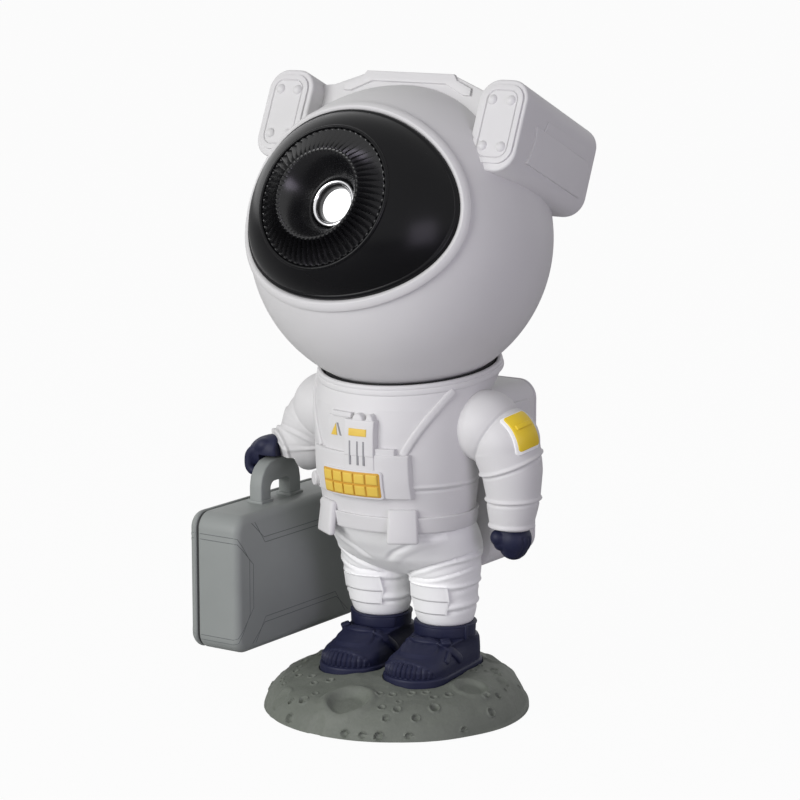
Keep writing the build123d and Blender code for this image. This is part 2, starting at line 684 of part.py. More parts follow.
def helmet_rear_cover():
    cover = (Sphere(HEAD_R) - Sphere(HEAD_R - HEAD_WALL)) & rod_y(COVER_R, 20, 60)
    for x, z in ((-13.0, -10.0), (13.0, -10.0), (-9.5, 15.0), (9.5, 15.0)):
        cover += rod_y(1.8, 39.6, 54.0, x, z) & Sphere(HEAD_R - 1.0)
    cover -= turned([(19.8, 43.0), (29.0, 43.0), (29.0, 45.5), (19.8, 45.5)])
    for x in BUTTON_X.values():
        cover -= rod_y(BUTTON_R + GAP, 40, 60, x, BUTTON_Z)
    cover -= block(-4.8, 4.8, 40, 60, -15.9, -12.1)
    for x, z in four_around(COVER_SCREW_R):
        cover -= rod_y(1.0, 42, 60, x, z)
        cover -= rod_y(2.1, SCREW_HEAD_Y, 60, x, z)
    return cover


def button(x):
    """A press button: a domed cap through the cover, a collar behind it and a stem to its switch."""
    top = math.sqrt(HEAD_R ** 2 - x ** 2 - BUTTON_Z ** 2) + 0.9
    cap = rod_y(BUTTON_R, 46.4, top, x, BUTTON_Z)
    cap = fillet(cap.faces().sort_by(Axis.Y)[-1].edges(), 0.8)
    flange = rod_y(BUTTON_R + 0.9, 45.6, 46.4, x, BUTTON_Z)
    stem = rod_y(1.5, 42.0, 45.6, x, BUTTON_Z)
    return cap + flange + stem


def pod(side):
    body = block(side * POD_IN_X, side * POD_OUT_X, POD_FRONT_Y, POD_REAR_Y, POD_LOW_Z, POD_TOP_Z)
    body = fillet(body.edges().filter_by(Axis.Y), 5.5)
    body = fillet(body.faces().sort_by(Axis.Y)[-1].edges(), 3.0)
    body = chamfer(body.faces().sort_by(Axis.Y)[0].edges(), 0.8)
    body -= block(side * (POD_IN_X - 9), side * (POD_OUT_X - POD_WALL), POD_FRONT_Y + POD_WALL,
                  POD_REAR_Y - POD_WALL, POD_LOW_Z + POD_WALL, POD_TOP_Z - POD_WALL)
    body += block(side * POD_IN_X, side * (POD_IN_X + POD_WALL), POD_FRONT_Y + 1, POD_REAR_Y - 4,
                  POD_LOW_Z + 4, POD_TOP_Z - 1)
    return body - Sphere(HEAD_R + 0.02)


def pod_face(side):
    plate = block(side * 37.0, side * 53.2, POD_FRONT_Y - 0.8, POD_FRONT_Y, 22.3, 50.5)
    plate = fillet(plate.edges().filter_by(Axis.Y), 4.0)
    groove = block(side * 38.6, side * 51.6, POD_FRONT_Y - 1.0, POD_FRONT_Y - 0.4, 24.0, 48.8)
    groove = fillet(groove.edges().filter_by(Axis.Y), 3.0)
    inner = block(side * 39.0, side * 51.2, POD_FRONT_Y - 1.0, POD_FRONT_Y - 0.2, 24.4, 48.4)
    inner = fillet(inner.edges().filter_by(Axis.Y), 2.7)
    return plate - (groove - inner) - Sphere(HEAD_R + 0.02)


def rivets(side):
    group = []
    for x in (41.2, 48.6):
        for z in (28.2, 44.8):
            dome = Pos(side * x, POD_FRONT_Y - 0.8, z) * Sphere(1.7)
            dome = dome & block(side * 30, side * 60, POD_FRONT_Y - 3, POD_FRONT_Y - 0.8, 20, 60)
            group.append(dome)
    return group


def both_sides(half):
    """A closed outline from its +X half, which is given from the middle outwards and back."""
    return half + [(-x, z) for x, z in reversed(half)]


def yoke():
    """The hollow arch over the crown, with a raised strip along its front edge."""
    top = 18.4
    low = [(POD_IN_X, 25.0)]
    body = front_slab(both_sides([(top, YOKE_TOP_Z), (32.0, 50.4), (POD_IN_X, 50.0)] + low),
                      YOKE_FRONT_Y, YOKE_REAR_Y)
    hollow = both_sides([(top - 0.8, YOKE_TOP_Z - POD_WALL), (33.0, 47.6), (33.0, 20.0)])
    body -= front_slab(hollow, YOKE_FRONT_Y + POD_WALL, YOKE_REAR_Y - POD_WALL)
    strip = both_sides([(top, YOKE_TOP_Z), (20.0, 53.6), (26.6, 50.9), (26.8, 48.2), (23.8, 48.2),
                        (15.5, 52.1)])
    body += front_slab(strip, YOKE_FRONT_Y - 1.1, YOKE_FRONT_Y)
    return body - Sphere(HEAD_R + 0.02)


def helmet_parts():
    keep("helmet_shell", in_head(helmet_shell()))
    keep("helmet_rear_cover", in_head(helmet_rear_cover()))
    for name, x in BUTTON_X.items():
        keep(name, in_head(button(x)))
    keep("pod_left", in_head(pod(1)))
    keep("pod_right", in_head(pod(-1)))
    keep("pod_faces", in_head(pod_face(1)), in_head(pod_face(-1)))
    keep("pod_rivets", *[in_head(dome) for side in (1, -1) for dome in rivets(side)])
    keep("yoke", in_head(yoke()))
    screws = []
    for x, z in four_around(COVER_SCREW_R):
        shank = rod_y(0.9, 43.6, SCREW_HEAD_Y + 0.3, x, z)
        screws.append(in_head(shank + rod_y(1.9, SCREW_HEAD_Y, SCREW_HEAD_Y + 0.7, x, z)))
    keep("helmet_screws", *screws)
    inner_r = HEAD_R - HEAD_WALL
    cap = Sphere(inner_r - 0.05) - Sphere(inner_r - 1.6)
    keep("head_steel_cap", in_seat(cap & Pos(0, 0, -45) * Cylinder(21.0, 30)))


# ---------------------------------------------------------------- head: visor, funnel and optics
def on_lens(shape):
    """Place a shape turned about the lens's axis, which lies a little below the ball's centre."""
    return in_head(Pos(0, 0, -OPTIC_DROP) * shape)


def visor():
    """A black bowl that swells out of the face opening and ends round the lens funnel."""
    outer = [(25.2, -51.4), (29.0, -48.9), (34.0, -44.8), (38.5, -39.9), (43.6, -33.3)]
    inner = [(41.0, -33.3), (36.6, -38.4), (32.0, -42.8), (28.0, -46.2), (25.2, -48.2)]
    edge = Line(outer[-1], inner[0]) + Line(inner[-1], outer[0])
    bowl = Rot(0, 90, 0) * revolve(make_face(Spline(*outer) + Spline(*inner) + edge), Axis.Y)
    return bowl & ellipse_slab(FACE_W - 0.2, FACE_H - 0.2, -70, -5, OPTIC_DROP - FACE_DROP)


def lens_hood():
    """A funnel round the lens; its face is pleated so that stray light is not thrown back."""
    wall = 2.1
    body = turned([(FUNNEL_R, HOOD_FOOT_Y), (FUNNEL_R, FUNNEL_Y), (CREST_R, CREST_Y), (THROAT_R, THROAT_Y),
                   (THROAT_R, -41.6), (10.8, -41.6), (17.0, -52.6), (FUNNEL_R - wall, -49.6),
                   (FUNNEL_R - wall, HOOD_FOOT_Y)])
    length = math.hypot(FUNNEL_R - CREST_R, CREST_Y - FUNNEL_Y)
    slope = math.degrees(math.atan2(FUNNEL_Y - CREST_Y, FUNNEL_R - CREST_R))
    pleat = Pos((FUNNEL_R + CREST_R) / 2, (FUNNEL_Y + CREST_Y) / 2, 0) * Rot(0, 0, slope)
    pleat = pleat * Box(length - 0.6, 0.9, 0.9)
    ribs = [Rot(0, index * 360.0 / PLEATS, 0) * pleat for index in range(PLEATS)]
    return body + ribs


def gear_face(teeth, module, backlash):
    """An involute spur gear outline: 20 degree pressure angle, thinned by the backlash."""
    pitch_r = module * teeth / 2
    base_r = pitch_r * math.cos(math.radians(20))
    tip_r = pitch_r + 0.9 * module
    root_r = pitch_r - 1.15 * module
    start_r = max(base_r, root_r + 0.02)
    involute = math.tan(math.radians(20)) - math.radians(20)
    half = math.pi / (2 * teeth) - backlash / (2 * pitch_r)
    points = []
    for tooth in range(teeth):
        middle = 2 * math.pi * tooth / teeth
        flank = []
        for step in range(4):
            radius = start_r + (tip_r - start_r) * step / 3
            roll = math.acos(min(1.0, base_r / radius))
            flank.append((radius, half + involute - (math.tan(roll) - roll)))
        flank = [(root_r, flank[0][1])] + flank
        for radius, spread in flank:
            points.append((radius * math.cos(middle - spread), radius * math.sin(middle - spread)))
        for radius, spread in reversed(flank):
            points.append((radius * math.cos(middle + spread), radius * math.sin(middle + spread)))
    return make_face(Polyline(*points, close=True))


def gear_at(teeth, turn, z, y0, y1):
    """A gear about Y, with one tooth at the given turn from +X."""
    face = Rot(0, 0, turn) * gear_face(teeth, DISC_MODULE, 0.16)
    body = extrude(face, amount=abs(y1 - y0))
    return Pos(0, max(y0, y1), z) * Rot(90, 0, 0) * body


DISC_R = DISC_MODULE * DISC_TEETH / 2
PINION_R = DISC_MODULE * PINION_TEETH / 2
PINION_Z = DISC_Z + DISC_R + PINION_R + 0.1
PLATE_Y = -24.0
AXLE_R = 1.5
BOARD_Y = 39.6


def disc_and_motor():
    """The disc stands on the frame's axle; the pinion above it drives its toothed rim."""
    rear = DISC_FRONT_Y + DISC_THICK
    disc = gear_at(DISC_TEETH, 90.0, DISC_Z, DISC_FRONT_Y, rear)
    disc += rod_y(2.8, DISC_FRONT_Y - 0.6, rear + 0.8, 0, DISC_Z)
    disc -= rod_y(AXLE_R + RUN_FIT, -40, -20, 0, DISC_Z)
    keep("nebula_disc", in_head(disc))
    turn = 180.0 / PINION_TEETH - 90.0
    pinion = gear_at(PINION_TEETH, turn, PINION_Z, DISC_FRONT_Y - 0.2, rear + 0.2)
    pinion += rod_y(0.75, DISC_FRONT_Y - 0.2, -29.4, 0, PINION_Z)
    keep("motor_pinion", in_head(pinion))
    motor = rod_y(5.4, -29.9, -15.0, 0, PINION_Z) - rod_y(0.75 + RUN_FIT, -31, -28.6, 0, PINION_Z)
    keep("disc_motor", in_head(motor))


def optics_frame():
    """A plate on four posts, with the disc's axle and the tube that holds the lens."""
    frame = block(-22, 22, PLATE_Y, PLATE_Y + 2.0, -20, 34)
    frame = fillet(frame.edges().filter_by(Axis.Y), 5.0)
    frame -= rod_y(5.5, -30, -10, 0, PINION_Z)
    for x, z in four_around(FUNNEL_R - 2.0):
        frame += rod_y(1.7, HOOD_FOOT_Y, PLATE_Y, x, z - OPTIC_DROP)
    frame += rod_y(AXLE_R, DISC_FRONT_Y - 1.0, PLATE_Y, 0, DISC_Z)
    frame += block(-17.4, 17.4, -38.4, -36.4, -18.6, -15.0) + block(-3.0, 3.0, -38.4, -36.4, -16.0, -9.0)
    tube = turned([(LENS_R + 0.2, -41.5), (10.4, -41.5), (10.4, -34.4), (5.6, -34.4), (5.6, -39.4),
                   (LENS_R + 0.2, -39.4)])
    return frame + Pos(0, 0, -OPTIC_DROP) * tube


def optics_parts():
    led = block(-7, 7, PLATE_Y - 1.2, PLATE_Y, -8.4, 3.6) + Pos(0, PLATE_Y - 1.2, -2.0) * Sphere(2.4)
    led = led & block(-10, 10, -30, PLATE_Y, -12, 12)
    laser = rod_y(2.9, -38.0, PLATE_Y, 11.6, -11.6) + rod_y(2.2, -39.0, -38.0, 11.6, -11.6)
    lens = turned([(0.01, -42.2), (3.0, -42.1), (5.0, -41.8), (RING_SIGHT_R, -41.4), (LENS_R, -41.4),
                   (LENS_R, -39.5), (0.01, -39.5)])
    chrome = turned([(RING_SIGHT_R, -41.5), (RING_SIGHT_R, -42.6), (6.9, -44.6), (7.8, -45.0),
                     (RING_R, -44.4), (RING_R, -41.5)])
    keep("optics_frame", in_head(optics_frame()))
    keep("led_board", in_head(led))
    keep("laser_module", in_head(laser))
    keep("projection_lens", on_lens(lens))
    keep("lens_ring", on_lens(chrome))


def rear_board():
    """The circuit board behind the rear cover, with three switches and the power inlet."""
    board = block(-20, 20, 38.0, BOARD_Y, -17, 17)
    for x in BUTTON_X.values():
        board += block(x - 2.4, x + 2.4, BOARD_Y, BOARD_Y + 1.0, BUTTON_Z - 2.4, BUTTON_Z + 2.4)
    keep("main_board", in_head(board))
    socket = block(-4.5, 4.5, BOARD_Y, 51.6, -15.6, -12.4) - block(-3.9, 3.9, 42.0, 52.0, -15.0, -13.0)
    keep("usb_socket", in_head(socket))


def seat_parts():
    cup = turned_z([(15.0, -50.0), (30.9, -50.0), (30.9, -44.6), (15.0, -44.6)]) - Sphere(HEAD_R + GAP)
    keep("swivel_ring", in_seat(cup))
    keep("seat_washer", in_seat(ring(30.9, 21.0, -51.5, -50.3)))


def build():
    os.makedirs("parts", exist_ok=True)
    base_parts()
    leg_parts()
    torso_parts()
    left_arm_parts()
    right_arm_parts()
    case_parts()
    seat_parts()
    helmet_parts()
    keep("visor", on_lens(visor()))
    keep("lens_hood", on_lens(lens_hood()))
    disc_and_motor()
    optics_parts()
    rear_board()


build()
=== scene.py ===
import json
import math
import random

import bmesh
import bpy
import numpy as np
from mathutils import Matrix, Vector, noise
from mathutils.bvhtree import BVHTree


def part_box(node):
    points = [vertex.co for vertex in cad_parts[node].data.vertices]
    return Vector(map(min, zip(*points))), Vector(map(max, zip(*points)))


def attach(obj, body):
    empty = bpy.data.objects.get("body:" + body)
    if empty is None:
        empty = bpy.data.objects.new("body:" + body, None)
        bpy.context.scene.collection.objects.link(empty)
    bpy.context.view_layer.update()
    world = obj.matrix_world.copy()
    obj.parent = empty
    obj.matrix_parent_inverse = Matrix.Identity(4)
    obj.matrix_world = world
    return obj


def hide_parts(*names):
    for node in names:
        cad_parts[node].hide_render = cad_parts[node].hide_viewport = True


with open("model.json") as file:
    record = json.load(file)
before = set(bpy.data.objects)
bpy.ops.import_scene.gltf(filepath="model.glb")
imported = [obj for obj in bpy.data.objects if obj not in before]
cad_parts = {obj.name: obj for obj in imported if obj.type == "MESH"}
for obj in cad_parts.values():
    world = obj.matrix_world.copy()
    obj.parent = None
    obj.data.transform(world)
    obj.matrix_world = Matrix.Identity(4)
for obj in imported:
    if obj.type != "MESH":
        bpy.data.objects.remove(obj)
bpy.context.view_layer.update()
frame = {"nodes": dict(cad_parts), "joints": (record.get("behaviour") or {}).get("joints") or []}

# ---------------------------------------------------------------- studio
# A pale table top in a white room, with one large soft box in front on the figure's right, a weak cool
# lamp on its left and plain light from all round. The camera looks down a little from its front left.
AIM = Vector((0.0, 0.0, 0.1128))
CAMERA_TURN = math.radians(34.0)
CAMERA_RISE = math.radians(10.5)
CAMERA_REACH = 1.0
CAMERA_ASIDE = 0.0018
FOCAL_LENGTH = 126.0
SENSOR = 36.0
ROOM_LIGHT = 0.30
TABLE_SIZE = 60.0
TABLE_GLOW = 0.96


def stood(name, data):
    """A new object that stands in the scene."""
    made = bpy.data.objects.new(name, data)
    bpy.context.scene.collection.objects.link(made)
    return made


def paint(code):
    """A screen colour, such as "8a8e8d", in Blender's linear light."""
    parts = [int(code[at:at + 2], 16) / 255 for at in (0, 2, 4)]
    linear = [part / 12.92 if part <= 0.04045 else ((part + 0.055) / 1.055) ** 2.4 for part in parts]
    return (*linear, 1.0)


class Wire:
    """A shader socket that adds its own Math nodes when it stands in a sum."""

    def __init__(self, finish, socket):
        self.finish = finish
        self.socket = socket

    def math(self, operation, *values):
        return self.finish.node("ShaderNodeMath", {"operation": operation}, dict(enumerate(values)))

    def __add__(self, other):
        return self.math("ADD", self, other)

    def __mul__(self, other):
        return self.math("MULTIPLY", self, other)

    __radd__ = __add__
    __rmul__ = __mul__


class Finish:
    """The nodes of a material or of the room."""

    def __init__(self, owner):
        self.owner = owner
        owner.use_nodes = True
        self.tree = owner.node_tree
        self.tree.nodes.clear()

    def node(self, kind, settings=None, sockets=None, output=0):
        made = self.tree.nodes.new(kind)
        for key, value in (settings or {}).items():
            setattr(made, key, value)
        for key, value in (sockets or {}).items():
            if isinstance(value, Wire):
                self.tree.links.new(value.socket, made.inputs[key])
            else:
                made.inputs[key].default_value = value
        return Wire(self, made.outputs[output]) if len(made.outputs) else None

    def grain(self, scale, detail=2.0):
        """Cloudy noise from 0 to 1 in the piece's own place, in features of 1 / scale metres."""
        place = self.node("ShaderNodeTexCoord", output="Object")
        return self.node("ShaderNodeTexNoise", {}, {"Vector": place, "Scale": scale, "Detail": detail})

    def mixed(self, factor, low, high):
        return self.node("ShaderNodeMix", {"data_type": "RGBA"}, {0: factor, 6: low, 7: high}, output=2)

    def bump(self, height, distance):
        return self.node("ShaderNodeBump", {}, {"Height": height, "Distance": distance})

    def surface(self, **sockets):
        """The finish's Principled shader; Base_Color stands for the socket Base Color."""
        named = {key.replace("_", " "): value for key, value in sockets.items()}
        shader = self.node("ShaderNodeBsdfPrincipled", {}, named)
        self.node("ShaderNodeOutputMaterial", {}, {"Surface": shader})
        return self


back = Vector((math.sin(CAMERA_TURN) * math.cos(CAMERA_RISE), -math.cos(CAMERA_TURN) * math.cos(CAMERA_RISE),
               math.sin(CAMERA_RISE)))
aside = Vector((math.cos(CAMERA_TURN), math.sin(CAMERA_TURN), 0.0))
camera_data = bpy.data.cameras.new("camera")
camera_data.lens = FOCAL_LENGTH
camera_data.sensor_width = SENSOR
camera_data.clip_start = 0.01
camera = stood("camera", camera_data)
camera.location = AIM + back * CAMERA_REACH + aside * CAMERA_ASIDE
camera.rotation_mode = "QUATERNION"
camera.rotation_quaternion = (-back).to_track_quat("-Z", "Y")
bpy.context.scene.camera = camera
bpy.context.scene.view_settings.view_transform = "Standard"


def soft_box(name, turn, rise, reach, size, watts, tint):
    """A square lamp at a compass turn from the front and a height above the table, facing the figure."""
    data = bpy.data.lights.new(name, "AREA")
    data.size = size
    data.energy = watts
    data.color = tint
    lamp = stood(name, data)
    turn, rise = math.radians(turn), math.radians(rise)
    away = Vector((math.sin(turn) * math.cos(rise), -math.cos(turn) * math.cos(rise), math.sin(rise)))
    lamp.location = AIM + away * reach
    lamp.rotation_mode = "QUATERNION"
    lamp.rotation_quaternion = away.to_track_quat("Z", "Y")


soft_box("front_soft_box", -16.0, 17.0, 1.4, 0.9, 14.0, (1.0, 1.0, 1.0))
soft_box("side_lamp", 66.0, 4.0, 1.3, 0.5, 3.2, (0.88, 0.80, 1.0))

room = Finish(bpy.data.worlds.new("room"))
bpy.context.scene.world = room.owner
seen = room.node("ShaderNodeLightPath", output="Is Camera Ray")
seen = seen + room.node("ShaderNodeLightPath", output="Is Glossy Ray")
seen = seen + room.node("ShaderNodeLightPath", output="Is Transmission Ray")
shown = room.node("ShaderNodeBackground", {}, {"Color": (1, 1, 1, 1), "Strength": 1.0})
light = room.node("ShaderNodeBackground", {}, {"Color": (1, 1, 1, 1), "Strength": ROOM_LIGHT})
room_mix = room.node("ShaderNodeMixShader", {}, {0: seen.math("MINIMUM", seen, 1.0), 1: light, 2: shown})
room.node("ShaderNodeOutputWorld", {}, {0: room_mix})

table = Finish(bpy.data.materials.new("table_top"))
table_paint = table.node("ShaderNodeBsdfPrincipled", {}, {"Base Color": paint("c4c4c4"), "Roughness": 0.9,
                                                         "Specular IOR Level": 0.0})
table_glow = table.node("ShaderNodeEmission", {}, {"Color": (1, 1, 1, 1), "Strength": 1.0})
table_seen = table.node("ShaderNodeLightPath", output="Is Camera Ray") * TABLE_GLOW
table_mix = table.node("ShaderNodeMixShader", {}, {0: table_seen, 1: table_paint, 2: table_glow})
table.node("ShaderNodeOutputMaterial", {}, {0: table_mix})
table_mesh = bpy.data.meshes.new("table_top")
table_form = bmesh.new()
bmesh.ops.create_grid(table_form, x_segments=2, y_segments=2, size=TABLE_SIZE / 2)
table_form.to_mesh(table_mesh)
table_form.free()
table_mesh.materials.append(table.owner)
table_top = stood("table_top", table_mesh)

# ---------------------------------------------------------------- moon base
# A cast disc of moon ground with craters, pits and a slack outline, moulded in grey-green resin. Each boot
# stands in a well cut to its sole, and screws come up into the boots from below.
MM = 0.001
BASE_SEGMENTS = 360
BASE_ROWS = 140
BASE_LOW = 0.4
BASE_TILT = math.radians(2.9)
RECESS_R = 45.2
RECESS_TOP = 2.2
WELL_GAP = 0.9
SOLE_Z = 10.5
GROUND = [(48.8, -6.0), (48.8, 0.4), (48.4, 1.6), (47.2, 4.4), (45.5, 7.2), (43.2, 9.4), (40.5, 11.4),
          (36.0, 12.8), (30.0, 13.8), (22.0, 14.6), (13.0, 15.3), (0.0, 15.8)]
CRATERS = [(4.0, -34.9, 8.2, 2.1), (34.6, -2.0, 6.0, 1.2), (24.0, 33.0, 5.5, 1.1), (-25.0, -35.5, 3.5, 0.9),
           (-2.0, -46.2, 3.2, 0.8), (-34.0, 14.0, 6.5, 1.3), (-14.0, 38.0, 5.5, 1.1), (38.5, 12.5, 2.4, 0.7)]
PITS = [
    (-35.5, -7.2, 1.3), (-31.0, -18.7, 1.2), (-26.5, -23.0, 1.2), (-20.6, -23.0, 1.3), (-16.2, -28.0, 1.2),
    (-12.0, -24.0, 1.4), (-10.4, -35.0, 1.2), (-12.7, -39.4, 1.8), (-18.2, -39.4, 1.3), (-15.3, -44.0, 1.8),
    (12.0, -27.7, 1.3), (16.3, -26.0, 1.3), (21.3, -21.0, 1.3), (25.0, -17.6, 1.3), (29.3, -19.0, 1.4),
    (21.0, -28.5, 1.1), (18.0, -34.8, 1.3), (23.3, -33.0, 1.5), (32.7, -23.8, 1.9), (21.4, -37.6, 1.3),
    (29.8, -31.4, 1.5), (30.5, -36.8, 1.3), (21.5, -42.0, 1.6), (16.0, -44.5, 1.3), (9.5, -46.6, 1.4),
    (42.5, -20.0, 1.2), (41.0, -3.0, 1.6), (41.5, 9.0, 0.9), (40.0, 21.0, 0.9), (32.3, -13.9, 1.4),
    (-33.0, -24.0, 0.8), (-31.5, -26.5, 0.8), (-29.0, -29.0, 0.9)]
REAR_PITS = 34
LEG_X = 14.0
TOE_Y, TOE_R = -6.0, 12.0
HEEL_Y, HEEL_R = 18.5, 9.5


class Contour:
    """Rows of numbers, led by a rising key, joined by smooth curves that never overshoot them."""

    def __init__(self, rows):
        table = np.array(rows, float)
        self.keys = table[:, 0]
        self.values = table[:, 1:]
        rise = np.diff(self.values, axis=0) / np.diff(self.keys)[:, None]
        self.slopes = np.zeros_like(self.values)
        self.slopes[0], self.slopes[-1] = rise[0], rise[-1]
        product = rise[1:] * rise[:-1]
        total = np.where(product > 0, rise[1:] + rise[:-1], 1.0)
        self.slopes[1:-1] = np.where(product > 0, 2 * product / total, 0.0)
        self.known = {}

    def __call__(self, key):
        if key not in self.known:
            at = int(np.clip(np.searchsorted(self.keys, key) - 1, 0, len(self.keys) - 2))
            span = self.keys[at + 1] - self.keys[at]
            t = min(max((key - self.keys[at]) / span, 0.0), 1.0)
            ease = t * t * (3 - 2 * t)
            value = (1 - ease) * self.values[at] + ease * self.values[at + 1]
            leave, arrive = t * (1 - t) ** 2, t * t * (1 - t)
            value = value + span * (leave * self.slopes[at] - arrive * self.slopes[at + 1])
            self.known[key] = [float(number) for number in value]
        return self.known[key]


def traced(points):
    """A smooth line through the points, run along from 0 to 1."""
    gaps = np.cumsum([0.0] + [math.dist(a, b) for a, b in zip(points, points[1:])])
    return Contour([(gap / gaps[-1], *point) for gap, point in zip(gaps, points)])


def smooth(t):
    """0 below 0, 1 above 1, and an even curve between."""
    t = min(max(t, 0.0), 1.0)
    return t * t * (3 - 2 * t)


def hump(away, width):
    """A soft swelling: 1 in the middle, 0 from the width on."""
    share = min(abs(away) / width, 1.0)
    return (1 - share * share) ** 2


def running(bm, axis):
    """The edges that run along an axis."""
    return [edge for edge in bm.edges if abs(edge.verts[0].co[axis] - edge.verts[1].co[axis]) > 0.5]


def tube(segments, rows, form):
    """An open tube, cut into even rows and laid on form(turn, rise)."""
    bm = bmesh.new()
    bmesh.ops.create_cone(bm, cap_ends=False, segments=segments, radius1=1, radius2=1, depth=1)
    bmesh.ops.subdivide_edges(bm, edges=running(bm, 2), cuts=rows - 1, use_grid_fill=True)
    for vert in bm.verts:
        vert.co = form(math.atan2(vert.co.y, vert.co.x), round(vert.co.z + 0.5, 5))
    bmesh.ops.remove_doubles(bm, verts=bm.verts, dist=1e-4)
    return bm


def sealed(bm):
    """Close every open end with a face."""
    bmesh.ops.holes_fill(bm, edges=[edge for edge in bm.edges if edge.is_boundary], sides=0)
    return bm


def piece(name, bm, body, slot, finish, *nodes, crease=32.0):
    """A finished piece: it rides on its body and stands for its CAD nodes; its slot is not used."""
    bmesh.ops.recalc_face_normals(bm, faces=bm.faces)
    bmesh.ops.scale(bm, vec=(MM, MM, MM), verts=bm.verts)
    mesh = bpy.data.meshes.new(name)
    bm.to_mesh(mesh)
    bm.free()
    mesh.shade_smooth()
    mesh.set_sharp_from_angle(angle=math.radians(crease))
    mesh.materials.append(finish.owner)
    made = stood(name, mesh)
    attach(made, body)
    if nodes:
        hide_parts(*nodes)
    return made


def footprint(turn, toe_y, toe_r, heel_y, heel_r):
    """Where a ray at this turn leaves the outline of a sole: two circles and their straight sides."""
    middle = (toe_y + heel_y) / 2
    c, s = math.cos(turn), math.sin(turn)
    taper = (heel_r - toe_r) / max(heel_y - toe_y, 0.01)
    reach = (toe_r + heel_r) / 2 / max(abs(c) - taper * s, 1e-6)
    if not toe_y <= middle + reach * s <= heel_y:
        offset, radius = (toe_y - middle, toe_r) if s < 0 else (heel_y - middle, heel_r)
        reach = s * offset + math.sqrt(max(radius * radius - (c * offset) ** 2, 0.0))
    return reach * c, middle + reach * s


def crater_floor(away, radius, depth):
    """A crater's height at a distance from its middle: flat floor, slope, raised rim."""
    share = away / radius
    return 0.45 * depth * hump(share - 1.06, 0.30) - depth * (1 - smooth((share - 0.62) / 0.34))


def ground(turn, rise):
    r, z = GROUND_LINE(rise)
    slack = 0.5 + 0.5 * noise.noise(Vector((math.cos(turn) * 2.2, math.sin(turn) * 2.2, 3.1)))
    r -= 1.0 * slack * smooth((r - 38.0) / 9.0) * smooth((z - 0.4) / 1.0)
    x, y = r * math.cos(turn), r * math.sin(turn)
    top = smooth((z - 0.5) / 2.5)
    swell = 0.5 * noise.noise(Vector((x / 9.0, y / 9.0, 0.3)))
    swell += 0.2 * noise.noise(Vector((x / 3.2, y / 3.2, 5.3)))
    for cx, cy, radius, depth in CRATERS:
        away = math.hypot(x - cx, y - cy)
        if away < radius * 1.6:
            swell += crater_floor(away, radius, depth)
    return Vector((x, y, z + top * swell))


def cut_flat(bm, place, normal):
    """Take away what lies beyond a plane and close the cut."""
    whole = bm.verts[:] + bm.edges[:] + bm.faces[:]
    made = bmesh.ops.bisect_plane(bm, geom=whole, plane_co=place, plane_no=normal, clear_outer=True)
    rim = [item for item in made["geom_cut"] if isinstance(item, bmesh.types.BMEdge)]
    bmesh.ops.holes_fill(bm, edges=rim, sides=0)
    return bm


def rod(radius, start, end, segments=96):
    """A round rod between two places."""
    bm = bmesh.new()
    start, end = Vector(start), Vector(end)
    turned = (end - start).to_track_quat("Z", "Y").to_matrix().to_4x4()
    bmesh.ops.create_cone(bm, cap_ends=True, segments=segments, radius1=radius, radius2=radius,
                          depth=(end - start).length, matrix=Matrix.Translation((start + end) / 2) @ turned)
    return bm


GROUND_LINE = traced(GROUND)
base = sealed(tube(BASE_SEGMENTS, BASE_ROWS, ground))
bmesh.ops.rotate(base, matrix=Matrix.Rotation(BASE_TILT, 3, "X"), verts=base.verts)
base = cut_flat(base, (0, 0, BASE_LOW), (0, 0, -1))
chance = random.Random(11)
pits = list(PITS)
while len(pits) < len(PITS) + REAR_PITS:
    turn, reach = chance.uniform(-0.3, 3.6), chance.uniform(29.0, 46.0)
    spot = (reach * math.cos(turn), reach * math.sin(turn), chance.uniform(0.8, 1.7))
    if all(math.dist(spot[:2], pit[:2]) > 4.0 for pit in pits) and all(
            math.dist(spot[:2], crater[:2]) > crater[2] + 2.0 for crater in CRATERS):
        pits.append(spot)
fine = [edge for edge in base.edges if edge.verts[0].co.z > 2.5 and any(
    math.dist(edge.verts[0].co.xy, pit[:2]) < 1.9 * pit[2] for pit in pits)]
bmesh.ops.subdivide_edges(base, edges=fine, cuts=1, use_grid_fill=True)
base.normal_update()
for x, y, radius in pits:
    middle = min(base.verts, key=lambda vert: math.dist(vert.co.xy, (x, y)) + (99 if vert.co.z < 2.3 else 0))
    middle = middle.co.copy()
    for vert in base.verts:
        away = (vert.co - middle).length
        if away < 1.6 * radius:
            vert.co += vert.normal * crater_floor(away, radius * 0.95, radius * 0.58)


def sole_cutter(side):
    """The upright prism that cuts a boot's well."""
    def form(turn, rise):
        outline = footprint(turn, TOE_Y, TOE_R + WELL_GAP, HEEL_Y, HEEL_R + WELL_GAP)
        return Vector((*outline, SOLE_Z + 20 * rise))
    bm = tube(128, 1, form)
    bmesh.ops.translate(bm, vec=(side * LEG_X, 0, 0), verts=bm.verts)
    return sealed(bm)


def loose(bm):
    """An object for modifiers to work on; it takes over the form."""
    made = stood("loose", bpy.data.meshes.new("loose"))
    bm.to_mesh(made.data)
    bm.free()
    return made


def worked(made, *tools):
    """The form that an object's modifiers leave; the object and its tools go."""
    depsgraph = bpy.context.evaluated_depsgraph_get()
    result = bmesh.new()
    result.from_mesh(made.evaluated_get(depsgraph).to_mesh())
    for used in (made, *tools):
        bpy.data.objects.remove(used)
    return result


def carved(bm, *cutters):
    """Cut the closed forms of the cutters out of a closed form."""
    whole = loose(bm)
    tools = []
    for cutter in cutters:
        bmesh.ops.recalc_face_normals(cutter, faces=cutter.faces)
        tools.append(loose(cutter))
        cut = whole.modifiers.new("cut", "BOOLEAN")
        cut.operation = "DIFFERENCE"
        cut.object = tools[-1]
    return worked(whole, *tools)


